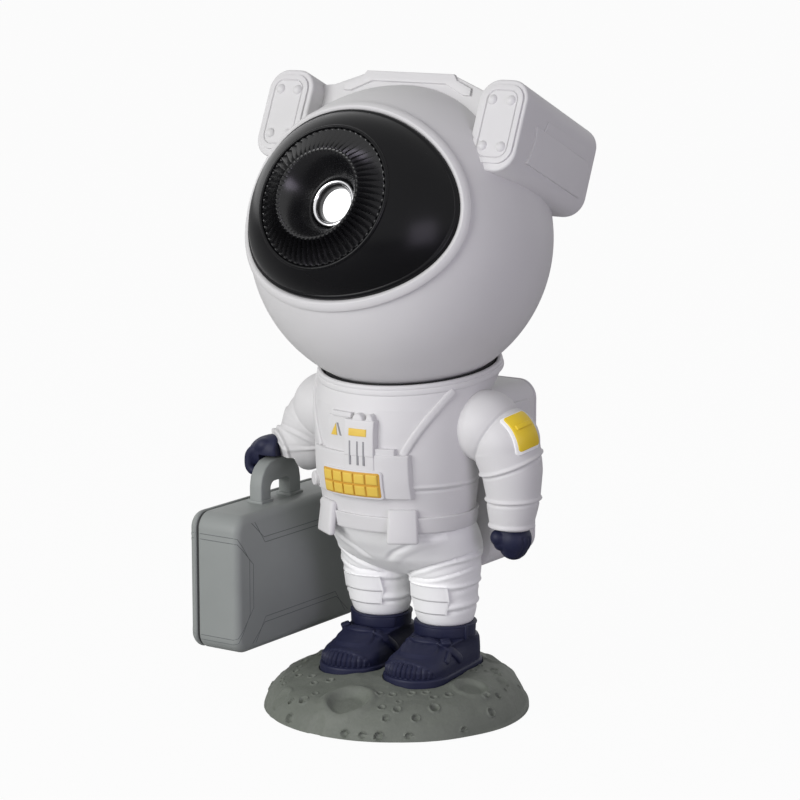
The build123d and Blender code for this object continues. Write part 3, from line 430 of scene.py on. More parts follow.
bmesh.ops.recalc_face_normals(base, faces=base.faces)
base = carved(base, sole_cutter(1), sole_cutter(-1), rod(RECESS_R, (0, 0, -5.0), (0, 0, RECESS_TOP), 128))
moon = Finish(bpy.data.materials.new("moon_resin"))
moon_dust = moon.grain(900.0, 6.0)
moon_cloud = moon.grain(70.0, 3.0)
moon_paint = moon.mixed(moon_cloud, paint("61665e"), paint("7b7f77"))
moon_paint = moon.mixed(moon_dust * 0.35, moon_paint, paint("565a55"))
moon.surface(Base_Color=moon_paint, Roughness=0.5 + 0.2 * moon_dust, Specular_IOR_Level=0.35,
             Normal=moon.bump(moon_dust, 0.00012))
piece("moon_ground", base, "figure", "moon_resin", moon, "moon_base", crease=50.0)

# ---------------------------------------------------------------- boots
# Moulded overshoes in navy plastic: a thick sole, a toe cap with ribs, a vamp flap, a buckled strap over the
# instep and a turned collar at the ankle. Each is one hollow moulding, screwed down through the base.
BOOT_SEGMENTS = 300
BOOT_ROWS = 84
BOOT_LINE = Contour([
    (0.00, -6.0, 11.9, 18.5, 9.4, 10.5, 10.5),
    (0.03, -6.0, 12.4, 18.5, 9.9, 10.7, 10.7),
    (0.17, -6.0, 12.5, 18.5, 10.0, 15.5, 15.5),
    (0.19, -6.0, 12.1, 18.5, 9.7, 16.0, 16.0),
    (0.205, -6.0, 11.4, 18.5, 9.1, 16.1, 16.1),
    (0.30, -5.9, 11.5, 18.5, 9.2, 18.3, 18.7),
    (0.40, -5.2, 10.9, 18.2, 9.3, 20.5, 21.0),
    (0.48, -3.6, 9.8, 17.6, 9.5, 22.0, 23.0),
    (0.55, -1.0, 9.2, 16.8, 9.8, 23.4, 24.3),
    (0.61, 2.0, 9.4, 15.8, 10.0, 24.6, 25.2),
    (0.67, 5.4, 9.9, 14.6, 10.4, 25.6, 25.9),
    (0.73, 9.4, 10.5, 12.9, 10.6, 26.4, 26.4),
    (0.77, 11.9, 10.9, 12.1, 10.9, 27.0, 27.0),
    (0.92, 12.0, 11.1, 12.0, 11.1, 31.0, 31.0),
    (0.96, 12.0, 10.9, 12.0, 10.9, 31.5, 31.5),
    (1.00, 12.0, 9.4, 12.0, 9.4, 31.5, 31.5)])
UPPER_Z = 16.1
RIBS = 13
RIB_SPREAD = math.radians(66.0)


def boot_form(turn, rise):
    toe_y, toe_r, heel_y, heel_r, front_z, rear_z = BOOT_LINE(rise)
    x, y = footprint(turn, toe_y, toe_r, heel_y, heel_r)
    middle = (toe_y + heel_y) / 2
    frontness = smooth(0.5 - (y - middle) / (heel_y - toe_y + toe_r + heel_r))
    z = rear_z + (front_z - rear_z) * frontness
    out = Vector((x, y - middle, 0.0)).normalized()
    toe_turn = math.atan2(x, -(y - toe_y))
    spread = abs(toe_turn) / RIB_SPREAD
    if y < -2.0 and spread < 1.0:
        cap_top = UPPER_Z + 5.4 * math.sqrt(1 - spread ** 2)
        inside = smooth((cap_top - z) / 0.6) * smooth((z - UPPER_Z) / 0.5)
        rib = abs(math.sin(toe_turn / RIB_SPREAD * RIBS * math.pi / 2))
        welt = hump(z - cap_top - 0.3, 0.6) * smooth((z - UPPER_Z) / 0.5)
        out_by = inside * (rib - 0.4) + 0.55 * welt
        x, y, z = x + out.x * out_by, y + out.y * out_by, z + 0.4 * out_by * smooth((z - 18) / 4)
    flap = math.hypot(x / 7.8, (y + 5.6) / 6.4)
    if flap < 1.2:
        z += 0.9 * smooth((1.0 - flap) / 0.07) * smooth((z - 20.6) / 0.6)
    return Vector((x, y, z))


def nearest(tree, point):
    """The place on a skin that is nearest to a point, and the way out of the skin there."""
    place, normal, _, _ = tree.find_nearest(Vector(point))
    return place, normal


def band(skin, points, half_width, rise, rows=90, segments=20, ends=0.06, sink=0.25):
    """A rounded strap laid on a skin along a smooth line through the points."""
    tree = BVHTree.FromBMesh(skin)
    line = traced(points)
    spots = [nearest(tree, line(index / rows)) for index in range(rows + 1)]
    places = [spot[0] for spot in spots]
    for _ in range(3):
        inner = [(a + b + c) / 3 for a, b, c in zip(places, places[1:], places[2:])]
        places = [places[0], *inner, places[-1]]

    def form(turn, along):
        at = int(round(along * rows))
        ahead = places[min(at + 1, rows)] - places[max(at - 1, 0)]
        normal = spots[at][1]
        across = normal.cross(ahead).normalized()
        full = min(1.0, min(along, 1 - along) / ends)
        full = math.sqrt(max(1 - (1 - full) ** 2, 0.0))
        c, s = math.cos(turn), math.sin(turn)
        square = (abs(c) ** 4 + abs(s) ** 4) ** 0.25
        wide = half_width * full * c / square
        high = rise * full * s / square
        return places[at] + across * wide + normal * (high - sink * rise)
    return sealed(tube(segments, rows, form))


def add(bm, other):
    """Put another form's mesh in with this one."""
    mesh = bpy.data.meshes.new("part")
    other.to_mesh(mesh)
    other.free()
    bm.from_mesh(mesh)
    bpy.data.meshes.remove(mesh)
    return bm


def rounded(bm, edges, offset, segments):
    """Round off edges of a form."""
    bmesh.ops.bevel(bm, geom=edges, offset=offset, segments=segments, profile=0.5, affect="EDGES",
                    material=-1)
    return bm


def mirrored(bm, side):
    """The form on the figure's left (side 1) or right (side -1)."""
    if side < 0:
        bmesh.ops.scale(bm, vec=(-1, 1, 1), verts=bm.verts)
    return bm


def sharp(bm, angle):
    """The edges where two faces meet at more than an angle."""
    return [edge for edge in bm.edges if len(edge.link_faces) == 2 and edge.calc_face_angle(0) > angle]


def rounded_block(size, corner, segments=4):
    """A box with all its edges rounded, about its middle."""
    bm = bmesh.new()
    bmesh.ops.create_cube(bm, size=1.0)
    bmesh.ops.scale(bm, vec=size, verts=bm.verts)
    return rounded(bm, bm.edges, corner, segments)


boot = sealed(tube(BOOT_SEGMENTS, BOOT_ROWS, boot_form))
boot_tree = BVHTree.FromBMesh(boot)
collar_band = band(boot, [(-9.6, 7.0, 28.9), (-6.5, 3.0, 28.9), (0.0, 1.0, 28.9), (6.5, 3.0, 28.9),
                          (10.0, 7.5, 28.9), (11.0, 12.0, 28.9)], 2.2, 0.45, ends=0.02)
strap = band(boot, [(-11.0, 7.0, 17.8), (-9.0, 2.8, 22.2), (-5.0, -1.4, 25.0), (0.0, -3.0, 25.8),
                    (4.8, -1.4, 25.0), (8.8, 2.6, 22.2), (10.8, 6.6, 18.4)], 1.7, 1.25)
tail = band(boot, [(8.2, 1.0, 23.2), (9.4, -1.8, 21.4), (10.2, -4.4, 20.0)], 1.2, 0.7, rows=30, ends=0.15)
buckle = rounded_block((3.6, 3.4, 2.2), 0.7)
spot, facing = nearest(boot_tree, (7.2, 0.6, 24.2))
bmesh.ops.rotate(buckle, matrix=facing.to_track_quat("Z", "Y").to_matrix(), verts=buckle.verts)
bmesh.ops.translate(buckle, vec=spot + facing * 0.7, verts=buckle.verts)
tab = rounded_block((0.9, 1.6, 5.4), 0.35, 2)
bmesh.ops.translate(tab, vec=(10.9, 9.0, 28.8), verts=tab.verts)
ANKLE_Y, ANKLE_R, ANKLE_TOP = 12.0, 11.0, 31.0
RIM_ROUND = 0.5


def ankle_rim(turn, rise):
    reach = ANKLE_R + RIM_ROUND * math.cos(rise * math.tau)
    z = ANKLE_TOP + RIM_ROUND * math.sin(rise * math.tau)
    return Vector((reach * math.cos(turn), ANKLE_Y + reach * math.sin(turn), z))


rim = tube(96, 20, ankle_rim)
for extra in (collar_band, strap, tail, buckle, tab, rim):
    add(boot, extra)


def moulded(name, low, high, cloud, fine, detail, roughness, vary, specular, relief):
    """Moulded plastic: a slow cloud of two close shades, and a fine grain in its gloss and relief."""
    made = Finish(bpy.data.materials.new(name))
    grain = made.grain(fine, detail)
    return made.surface(Base_Color=made.mixed(made.grain(cloud), paint(low), paint(high)),
                        Roughness=roughness + vary * grain, Specular_IOR_Level=specular,
                        Normal=made.bump(grain, relief))


navy = moulded("navy_plastic", "171a33", "1e213c", cloud=120.0, fine=2400.0, detail=3.0, roughness=0.46,
               vary=0.14, specular=0.28, relief=0.00003)
for name, side in (("left_boot", 1), ("right_boot", -1)):
    foot = boot.copy()
    bmesh.ops.translate(foot, vec=(LEG_X, 0, 0), verts=foot.verts)
    piece(name + "_moulding", mirrored(foot, side), "figure", "navy_plastic", navy, name, crease=45.0)
boot.free()

# ---------------------------------------------------------------- trousers
# One blown form in soft white plastic, hips and legs together, with the folds of a puffed suit: creases that
# run from the crotch to the hips, rolls above and below the knees and a rounded hem over each boot.
TROUSER_CELL = 0.55
HIP_LOW, HIP_HIGH = 47.5, 69.9
HIP_LINE = Contour([(47.5, 10.5, 12.0, 4.0), (49.5, 10.5, 20.0, 9.5), (53.0, 10.2, 26.0, 15.5),
                    (58.0, 9.5, 28.8, 20.8), (64.0, 6.6, 29.0, 23.0), (69.9, 3.4, 27.9, 23.8)])
LEG_LOW, LEG_HIGH = 31.0, 63.0
LEG_LINE = Contour([(31.0, 14.0, 12.0, 8.6), (31.4, 14.0, 12.0, 9.7), (32.8, 14.0, 11.9, 10.5),
                    (36.0, 14.1, 11.7, 11.3), (41.0, 14.3, 11.4, 11.8), (46.0, 14.5, 11.0, 12.3),
                    (52.0, 14.8, 10.3, 13.2), (58.0, 14.4, 9.6, 13.4), (63.0, 14.0, 9.0, 12.4)])
ROLLS = [(46.7, 1.15, 0.75), (39.0, 1.5, 0.75)]
FURROWS = [(45.1, 0.9, 0.55), (37.1, 0.8, 0.5), (41.9, 0.6, 0.25)]


def leg_form(side):
    def form(turn, rise):
        z = LEG_LOW + (LEG_HIGH - LEG_LOW) * rise
        x, y, r = LEG_LINE(round(z, 4))
        behind = math.sin(turn) * 0.5 + 0.5
        level = z - 0.5 * math.sin(2 * turn + side)
        for height, width, swell in ROLLS:
            r += swell * hump(level - height, width)
        for height, width, depth in FURROWS:
            r -= depth * hump(level - height - 0.6 * behind, width)
        return Vector((side * x + r * math.cos(turn), y + r * math.sin(turn), z))
    return form


def hip_form(turn, rise):
    z = HIP_LOW + (HIP_HIGH - HIP_LOW) * rise
    y, rx, ry = HIP_LINE(round(z, 4))
    return Vector((rx * math.cos(turn), y + ry * math.sin(turn), z))


def fused(bm, cell, relax):
    """Grow overlapping forms into one skin of even cells and relax it."""
    made = loose(bm)
    remesh = made.modifiers.new("grow", "REMESH")
    remesh.mode = "VOXEL"
    remesh.voxel_size = cell
    result = worked(made)
    for _ in range(relax):
        bmesh.ops.smooth_vert(result, verts=result.verts, factor=0.5, use_axis_x=True, use_axis_y=True,
                              use_axis_z=True)
    return result


def press(bm, points, width, depth, lip=0.0):
    """Push a skin in along a line laid on it, by depth, and raise its lower side by lip."""
    bm.normal_update()
    tree = BVHTree.FromBMesh(bm)
    line = traced(points)
    steps = 120
    path = np.array([nearest(tree, line(index / steps))[0] for index in range(steps + 1)])
    spots = np.array([vert.co for vert in bm.verts])
    margin = 3 * width
    near = np.flatnonzero(np.all((spots > path.min(0) - margin) & (spots < path.max(0) + margin), axis=1))
    gaps = np.linalg.norm(spots[near][:, None, :] - path[None, :, :], axis=2)
    closest = gaps.argmin(1)
    away = gaps[np.arange(len(near)), closest]
    taper = np.minimum(1.0, np.minimum(closest, steps - closest) / (0.12 * steps))
    bm.verts.ensure_lookup_table()
    for index, gap, at, fade in zip(near, away, closest, taper):
        vert = bm.verts[int(index)]
        below = smooth(0.5 + (path[at][2] - vert.co.z) / (2 * width))
        move = depth * hump(gap, width) - lip * below * hump(gap - 1.6 * width, 1.6 * width)
        vert.co -= vert.normal * (move * fade)


def on_leg(side, turn_z):
    """Places on a leg's front, as degrees from straight ahead towards the figure's left, and heights."""
    places = []
    for degrees, z in turn_z:
        x, y, r = LEG_LINE(float(z))
        turn = math.radians(degrees)
        places.append((side * x + r * math.sin(turn), y - r * math.cos(turn), z))
    return places


trousers = sealed(tube(160, 60, hip_form))
for side in (1, -1):
    add(trousers, sealed(tube(128, 110, leg_form(side))))
trousers = fused(trousers, TROUSER_CELL, 2)
for side in (1, -1):
    high_fold = [(-62, 49.0), (-25, 52.2), (10, 55.2), (40, 57.6), (80, 58.8), (120, 59.0)]
    low_fold = [(-58, 48.0), (-20, 49.0), (25, 50.6), (60, 52.8), (100, 54.4)]
    press(trousers, on_leg(side, [(side * turn, z) for turn, z in high_fold]), 0.85, 0.95, 0.45)
    press(trousers, on_leg(side, [(side * turn, z) for turn, z in low_fold]), 0.7, 0.5, 0.3)
    press(trousers, [(side * 2.5, -10.5, 54.5), (side * 9.0, -13.8, 60.0), (side * 18.0, -12.5, 66.0),
                     (side * 25.0, -4.5, 69.0)], 1.6, 0.45, 0.3)
    press(trousers, on_leg(side, [(150, 44.0), (180, 43.4), (210, 44.2)]), 0.8, 0.5, 0.3)
    press(trousers, on_leg(side, [(140, 50.0), (180, 48.6), (220, 50.0)]), 0.9, 0.55, 0.3)
trouser_white = moulded("trouser_plastic", "f6f6f7", "fbfbfb", cloud=60.0, fine=2200.0, detail=4.0,
                        roughness=0.5, vary=0.14, specular=0.3, relief=0.00003)
piece("puffed_trousers", trousers, "figure", "trouser_shell", trouser_white, "trousers", crease=60.0)

# ---------------------------------------------------------------- knee patches
# Two flat plates on the front of each knee, the upper over the lower, in the same soft white plastic and
# welded to the trousers.
KNEE_TURN = 37.0


def knee_plate(side, low, high, proud, slant):
    """A plate that wraps the front of a leg, thick enough to show its edge."""
    bm = bmesh.new()
    bmesh.ops.create_grid(bm, x_segments=40, y_segments=16, size=0.5)
    made = bmesh.ops.extrude_face_region(bm, geom=bm.faces[:])
    top = {item for item in made["geom"] if isinstance(item, bmesh.types.BMVert)}
    for vert in bm.verts:
        across, up = vert.co.x * 2, vert.co.y + 0.5
        z = low + (high - low) * up
        turn = math.radians(across * KNEE_TURN * (1.0 + slant * (0.5 - up)))
        x, y, r = LEG_LINE(round(z, 3))
        r += proud if vert in top else -0.6
        vert.co = (side * x + r * math.sin(turn), y - r * math.cos(turn), z)
    rim = [edge for edge in sharp(bm, 0.9) if all(vert in top for vert in edge.verts)]
    return rounded(bm, rim, 0.25, 2)


plates = bmesh.new()
for side in (1, -1):
    add(plates, knee_plate(side, 36.2, 41.6, 0.75, -0.12))
    add(plates, knee_plate(side, 41.2, 46.9, 1.05, 0.10))
piece("knee_patches", plates, "figure", "trouser_shell", trouser_white, "knee_pads")

# ---------------------------------------------------------------- torso and collar
# Two shell halves in light grey plastic with a matt skin, closed round a collar with a turned rim. A roll
# runs round the waist above the belt, and the rim's lower edge lies on the shoulders as a thin step.
HEAD_JOINT = next(joint for joint in frame["joints"] if joint["name"] == "head_turn")
HEAD_CENTRE = Vector(HEAD_JOINT["pos_m"]) / MM
SEAT_DIP = math.radians(7.0)
HEAD_PITCH = math.radians(-23.5)
SEAT = Matrix.Translation(HEAD_CENTRE) @ Matrix.Rotation(SEAT_DIP, 4, "X")
HEAD = Matrix.Translation(HEAD_CENTRE) @ Matrix.Rotation(HEAD_PITCH, 4, "X")
TORSO_LOW = 68.8
TORSO_LINE = Contour([(68.8, 3.0, 27.8, 23.8), (80.0, 2.5, 29.3, 25.5), (90.0, 2.0, 30.5, 27.0),
                      (104.0, 2.5, 31.4, 28.0), (113.5, 4.0, 31.8, 28.5)])
SHOULDER_TOP = 113.5
BAND_DEPTH = 48.0
SIDE_ROWS = 0.8
RIM_R = 33.3


def seat_ring(radius, depth, turn):
    """A place on a circle about the head's seat, at a depth below the head's centre."""
    return SEAT @ Vector((radius * math.cos(turn), radius * math.sin(turn), -depth))


def torso_form(turn, rise):
    if rise <= SIDE_ROWS:
        z = TORSO_LOW + (SHOULDER_TOP - TORSO_LOW) * rise / SIDE_ROWS
        y, rx, ry = TORSO_LINE(round(z, 4))
        roll = 0.55 * hump(z - 86.3, 1.0) - 0.4 * hump(z - 84.9, 0.7)
        return Vector(((rx + roll) * math.cos(turn), y + (ry + roll) * math.sin(turn), z))
    share = (rise - SIDE_ROWS) / (1 - SIDE_ROWS)
    y, rx, ry = TORSO_LINE(SHOULDER_TOP)
    low = Vector((rx * math.cos(turn), y + ry * math.sin(turn), SHOULDER_TOP))
    return low.lerp(seat_ring(RIM_R, BAND_DEPTH, turn), share)


def chest_at(x, z, rise=0.0):
    """The chest's front skin at a place on its front view, raised by rise."""
    if z <= SHOULDER_TOP:
        y, rx, ry = TORSO_LINE(round(z, 3))
        return y - (ry + rise) * math.sqrt(max(1 - (x / (rx + rise)) ** 2, 0.0))
    y, rx, ry = TORSO_LINE(SHOULDER_TOP)
    low = y - ry * math.sqrt(max(1 - (x / rx) ** 2, 0.0))
    top = seat_ring(RIM_R, BAND_DEPTH, -math.acos(max(-1.0, min(1.0, x / RIM_R))))
    return low + (top.y - low) * min((z - SHOULDER_TOP) / (top.z - SHOULDER_TOP), 1.0) - rise


suit = moulded("suit_plastic", "d6d5d6", "dddcdd", cloud=45.0, fine=2600.0, detail=4.0, roughness=0.46,
               vary=0.14, specular=0.35, relief=0.00003)
torso = tube(192, 170, torso_form)
hem = [edge for edge in torso.edges if edge.is_boundary and edge.verts[0].co.z < SHOULDER_TOP]
bmesh.ops.holes_fill(torso, edges=hem, sides=0)
torso_skin = torso.copy()
piece("suit_torso", torso, "figure", "suit_shell", suit, "torso_front", "torso_back", crease=50.0)

COLLAR_PROFILE = traced([
    (31.3, 51.5), (31.3, 46.2), (31.6, 45.4), (32.2, 45.0), (32.9, 45.1), (33.35, 45.7), (33.4, 46.3),
    (33.25, 46.5), (33.55, 46.9), (33.75, 48.0), (33.4, 48.7), (32.6, 48.9)])


def collar_form(turn, rise):
    radius, depth = COLLAR_PROFILE(rise)
    return seat_ring(radius, depth, turn)


piece("neck_rim", tube(192, 60, collar_form), "figure", "suit_shell", suit, "collar", crease=50.0)

# ---------------------------------------------------------------- chest unit
# A stepped control box moulded in suit plastic: a low wing with a keypad, a tower with a window and three
# slots, two round caps and side plates. The keypad and inlays are yellow parts pressed into their recesses.
CHEST_PITCH = 0.8
CHEST_SINK = 1.0


def drawn(points, travel):
    """A slab: a flat outline drawn out along a vector."""
    bm = bmesh.new()
    face = bm.faces.new([bm.verts.new(point) for point in points])
    made = bmesh.ops.extrude_face_region(bm, geom=[face])
    far = [item for item in made["geom"] if isinstance(item, bmesh.types.BMVert)]
    bmesh.ops.translate(bm, vec=travel, verts=far)
    bmesh.ops.recalc_face_normals(bm, faces=bm.faces)
    return bm


def sliced(bm, axis, places):
    """Cut a form's faces at places along an axis."""
    normal = Vector((axis == 0, axis == 1, axis == 2))
    for place in places:
        whole = bm.verts[:] + bm.edges[:] + bm.faces[:]
        bmesh.ops.bisect_plane(bm, geom=whole, plane_co=normal * place, plane_no=normal)


def chest_plate(outline, rise, round_by, corner=0.0):
    """A plate on the chest: its front outline, in x and z, raised by rise, with a rounded front edge."""
    bm = drawn([(x, 0.0, z) for x, z in outline], (0, -1, 0))
    if corner:
        rounded(bm, running(bm, 1), corner, 5)
    front_edges = [edge for edge in bm.edges if all(vert.co.y < -0.5 for vert in edge.verts)]
    for vert in bm.verts:
        vert.co.y = -rise if vert.co.y < -0.5 else CHEST_SINK
    rounded(bm, front_edges, round_by, 3)
    for axis in (0, 2):
        along = [vert.co[axis] for vert in bm.verts]
        start, end = min(along), max(along)
        cuts = max(1, int((end - start) / CHEST_PITCH))
        sliced(bm, axis, [start + (end - start) * index / cuts for index in range(1, cuts)])
    for vert in bm.verts:
        vert.co.y = chest_at(vert.co.x, vert.co.z) + vert.co.y
    return bm


def box_outline(x0, x1, z0, z1):
    return [(x0, z0), (x1, z0), (x1, z1), (x0, z1)]


def cap_outline(x0, x1, low, rise):
    """A half-round cap on a flat foot."""
    middle, half = (x0 + x1) / 2, (x1 - x0) / 2
    turns = [math.pi * index / 12 for index in range(13)]
    return [(middle + half * math.cos(turn), low + rise * math.sin(turn)) for turn in turns]


PANEL_TOP = 98.2
TOWER = (-2.6, 9.1)
TOWER_TOP = 110.2
WING = box_outline(-20.0, 19.9, 82.3, PANEL_TOP)
SIDE_PLATE = [(-14.0, 97.6), (-2.2, 97.6), (-2.2, 110.4), (-12.5, 110.4)]
KEYPAD_RIM = box_outline(-13.6, 12.0, 82.0, 92.4)
chest = bmesh.new()
for outline, rise, round_by, corner in (
        (WING, 2.4, 0.35, 0.0),
        (box_outline(*TOWER, PANEL_TOP - 0.8, TOWER_TOP), 2.9, 0.3, 0.0),
        (box_outline(*TOWER, 92.0, PANEL_TOP - 0.4), 2.65, 0.2, 0.0),
        (SIDE_PLATE, 0.8, 0.2, 0.0),
        (box_outline(-9.7, -0.8, 110.4, 112.2), 1.7, 0.3, 0.0),
        (box_outline(8.9, 15.6, 97.8, 100.4), 1.9, 0.3, 0.0),
        (cap_outline(0.3, 4.6, TOWER_TOP - 0.4, 2.6), 2.7, 0.5, 0.0),
        (cap_outline(5.7, 8.5, TOWER_TOP - 0.4, 2.6), 2.7, 0.5, 0.0),
        (KEYPAD_RIM, 3.1, 0.35, 1.2)):
    add(chest, chest_plate(outline, rise, round_by, corner))
piece("chest_box", chest, "figure", "suit_shell", suit, "chest_panel")


def flat(name, low, high, scale, roughness):
    """A dull finish of two close shades."""
    made = Finish(bpy.data.materials.new(name))
    shade = made.mixed(made.grain(scale), paint(low), paint(high))
    return made.surface(Base_Color=shade, Roughness=roughness)


# The slots and the slanted line beside the yellow triangle are grey strips of painted shade that stand just
# proud of the chest.
shadow = flat("slot_shadow", "86868a", "9a9a9e", 900.0, 0.7)
slots = bmesh.new()
for x in (0.0, 3.1, 5.5):
    add(slots, chest_plate(box_outline(x - 0.35, x + 0.35, 94.2, 102.8), 2.97, 0.1))
add(slots, chest_plate([(-5.9, 103.5), (-5.1, 103.5), (-6.9, 107.9), (-7.7, 107.9)], 1.0, 0.1))
piece("chest_slot_shade", slots, "figure", "suit_shell", shadow)

yellow = moulded("keypad_yellow", "e3be4c", "eaca5c", cloud=150.0, fine=1800.0, detail=3.0, roughness=0.42,
                 vary=0.15, specular=0.4, relief=0.00002)
orange = flat("keypad_orange", "cc9a36", "d4a440", 150.0, 0.5)
sheet = chest_plate(box_outline(-13.0, 11.2, 82.8, 91.8), 3.25, 0.15, corner=0.8)
piece("keypad_sheet", sheet, "figure", "keypad_yellow", orange)
KEYS = 5
KEY_PITCH = 4.7
KEY_SIZE = (4.05, 3.6)
keypad = bmesh.new()
for column in range(KEYS):
    for z0 in (83.3, 87.6):
        x0 = -12.3 + column * KEY_PITCH
        add(keypad, chest_plate(box_outline(x0, x0 + KEY_SIZE[0], z0, z0 + KEY_SIZE[1]), 3.85, 0.35))
piece("keypad", keypad, "figure", "keypad_yellow", yellow, "chest_keypad")
inlays = chest_plate(box_outline(-0.4, 6.6, 104.6, 107.2), 3.15, 0.15)
add(inlays, chest_plate([(-10.2, 103.4), (-7.2, 103.5), (-8.0, 107.6)], 1.15, 0.1))
piece("yellow_inlays", inlays, "figure", "keypad_yellow", yellow, "chest_inlays")

KNOB = (-19.0, 85.6)
knob_out = Vector((-math.sin(math.radians(36.0)), -math.cos(math.radians(36.0)), 0.0))
knob_foot = Vector((KNOB[0], chest_at(*KNOB), KNOB[1]))
knob = rod(2.6, knob_foot, knob_foot + knob_out * 3.3, 48)
rounded(knob, sharp(knob, 1.0), 0.5, 4)
piece("side_knob", knob, "figure", "suit_shell", suit)

# ---------------------------------------------------------------- harness
# Two half-round straps of suit plastic, moulded on the torso. They come down from the collar over the chest
# to the control box.
straps = bmesh.new()
for side in (1, -1):
    points = [(17.1, 97.8), (20.1, 103.6), (24.2, 111.0), (27.2, 116.4), (29.2, 120.2)]
    line = [(side * x, chest_at(x, z), z) for x, z in points]
    add(straps, band(torso_skin, line, 1.45, 1.15, ends=0.02))
piece("harness", straps, "figure", "suit_shell", suit, "harness_straps")

# ---------------------------------------------------------------- belt and pouches
# A flat belt of suit plastic round the waist, broken by the backpack, and two flap pouches that stand off the
# hips and are glued to it.
BELT_LOW = 69.4
BELT_HIGH = 75.1
BELT_PROUD = 1.2
POUCH_WIDE, POUCH_TALL = 10.8, 12.4
BELT_LINE = Contour([(0.0, -0.8, BELT_LOW), (0.14, 0.9, BELT_LOW), (0.2, BELT_PROUD, BELT_LOW + 0.3),
                     (0.8, BELT_PROUD, BELT_HIGH - 0.3), (0.86, 0.9, BELT_HIGH), (1.0, -0.8, BELT_HIGH)])


def belt_skin(turn, rise):
    out, z = BELT_LINE(rise)
    y, rx, ry = TORSO_LINE(round(z, 4))
    return Vector(((rx + out) * math.cos(turn), y + (ry + out) * math.sin(turn), z))


piece("waist_belt", tube(160, 30, belt_skin), "figure", "suit_shell", suit, "belt")
pouches = bmesh.new()
for side in (1, -1):
    pouch = rounded_block((POUCH_WIDE, 2.4, POUCH_TALL), 1.0, 4)
    for vert in pouch.verts:
        down = 0.5 - vert.co.z / POUCH_TALL
        vert.co.x *= 0.96 + 0.10 * down
        vert.co.y += 0.03 * vert.co.x ** 2 - 0.4 * down
    bmesh.ops.rotate(pouch, matrix=Matrix.Rotation(math.radians(-5.0), 3, "X"), verts=pouch.verts)
    bmesh.ops.rotate(pouch, matrix=Matrix.Rotation(math.radians(32.0), 3, "Z"), verts=pouch.verts)
    bmesh.ops.translate(pouch, vec=(16.4, -19.5, 72.1), verts=pouch.verts)
    add(pouches, mirrored(pouch, side))
piece("hip_pouches", pouches, "figure", "suit_shell", suit, "belt_pouches")

# ---------------------------------------------------------------- backpack
# A deep box of suit plastic with round corners on the figure's back, closed by a cover with a raised middle
# on four screws.
PACK_LOW, PACK_HIGH = [Vector(corner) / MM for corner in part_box("backpack_cover")]
PACK_FRONT = 22.0
PACK_CORNER, PACK_EDGE = 7.0, 0.8
PANEL_LOW, PANEL_HIGH = (28.5, 58.0), (48.5, 109.0)


def level(bm, axis):
    """The edges that lie square to an axis."""
    return [edge for edge in bm.edges if abs(edge.verts[0].co[axis] - edge.verts[1].co[axis]) < 1e-6]


def round_box(low, high, corner, edge, axis):
    """A box between two corners: its four edges along an axis are rounded by corner, the others by edge."""
    bm = bmesh.new()
    bmesh.ops.create_cube(bm, size=1.0)
    bmesh.ops.scale(bm, vec=Vector(high) - Vector(low), verts=bm.verts)
    bmesh.ops.translate(bm, vec=(Vector(high) + Vector(low)) / 2, verts=bm.verts)
    rounded(bm, running(bm, axis), corner, 10)
    if edge:
        rounded(bm, level(bm, axis), edge, 5)
    return bm


pack = round_box((PACK_LOW.x, PACK_FRONT, PACK_LOW.z), (PACK_HIGH.x, PACK_LOW.y - 0.25, PACK_HIGH.z),
                 PACK_CORNER, PACK_EDGE, 1)
for side in (1, -1):
    side_panel = round_box((PACK_HIGH.x - 1.0, *PANEL_LOW), (PACK_HIGH.x + 0.7, *PANEL_HIGH), 3.0, 0.5, 0)
    add(pack, mirrored(side_panel, side))
piece("backpack_box", pack, "figure", "suit_shell", suit, "backpack_shell")
cover = round_box(PACK_LOW, (PACK_HIGH.x, PACK_HIGH.y - 1.6, PACK_HIGH.z), PACK_CORNER, PACK_EDGE, 1)
add(cover, round_box((PACK_LOW.x + 3.5, PACK_LOW.y + 0.5, PACK_LOW.z + 12.0),
                     (PACK_HIGH.x - 3.5, PACK_HIGH.y, PACK_HIGH.z - 12.0), 5.0, 0.9, 1))
piece("backpack_lid", cover, "figure", "suit_shell", suit, "backpack_cover")

# ---------------------------------------------------------------- arms
# Blown sleeves of suit plastic. Each turns on a pin through the shoulder, and its disc runs in the torso's
# armhole. A shoulder cap, two piped seams and a rolled cuff mark the sleeve's panels.
SHOULDER = Vector((34.2, 6.8, 106.0))
SHOULDER_R = 12.9
ARM_INNER = 32.1


def ball(centre, radius, segments=48):
    bm = bmesh.new()
    bmesh.ops.create_uvsphere(bm, u_segments=segments, v_segments=segments // 2, radius=radius,
                              matrix=Matrix.Translation(centre))
    return bm


def limb(rows, segments=96, count=60):
    """A closed limb through circles; each row is a place and a radius, and the circles face along it."""
    line = traced([row[:3] for row in rows])
    gaps = np.cumsum([0.0] + [math.dist(a[:3], b[:3]) for a, b in zip(rows, rows[1:])])
    radii = Contour([(gap / gaps[-1], row[3]) for gap, row in zip(gaps, rows)])
    frames = []
    side = Vector((1.0, 0.0, 0.0))
    for index in range(count + 1):
        here = Vector(line(index / count))
        ahead = Vector(line(min(index + 1, count) / count)) - Vector(line(max(index - 1, 0) / count))
        ahead.normalize()
        side = (side - ahead * side.dot(ahead)).normalized()
        frames.append((here, side.copy(), ahead.cross(side)))

    def form(turn, rise):
        here, across, up = frames[int(round(rise * count))]
        radius = radii(rise)[0]
        return here + (across * math.cos(turn) + up * math.sin(turn)) * radius
    return sealed(tube(segments, count, form))


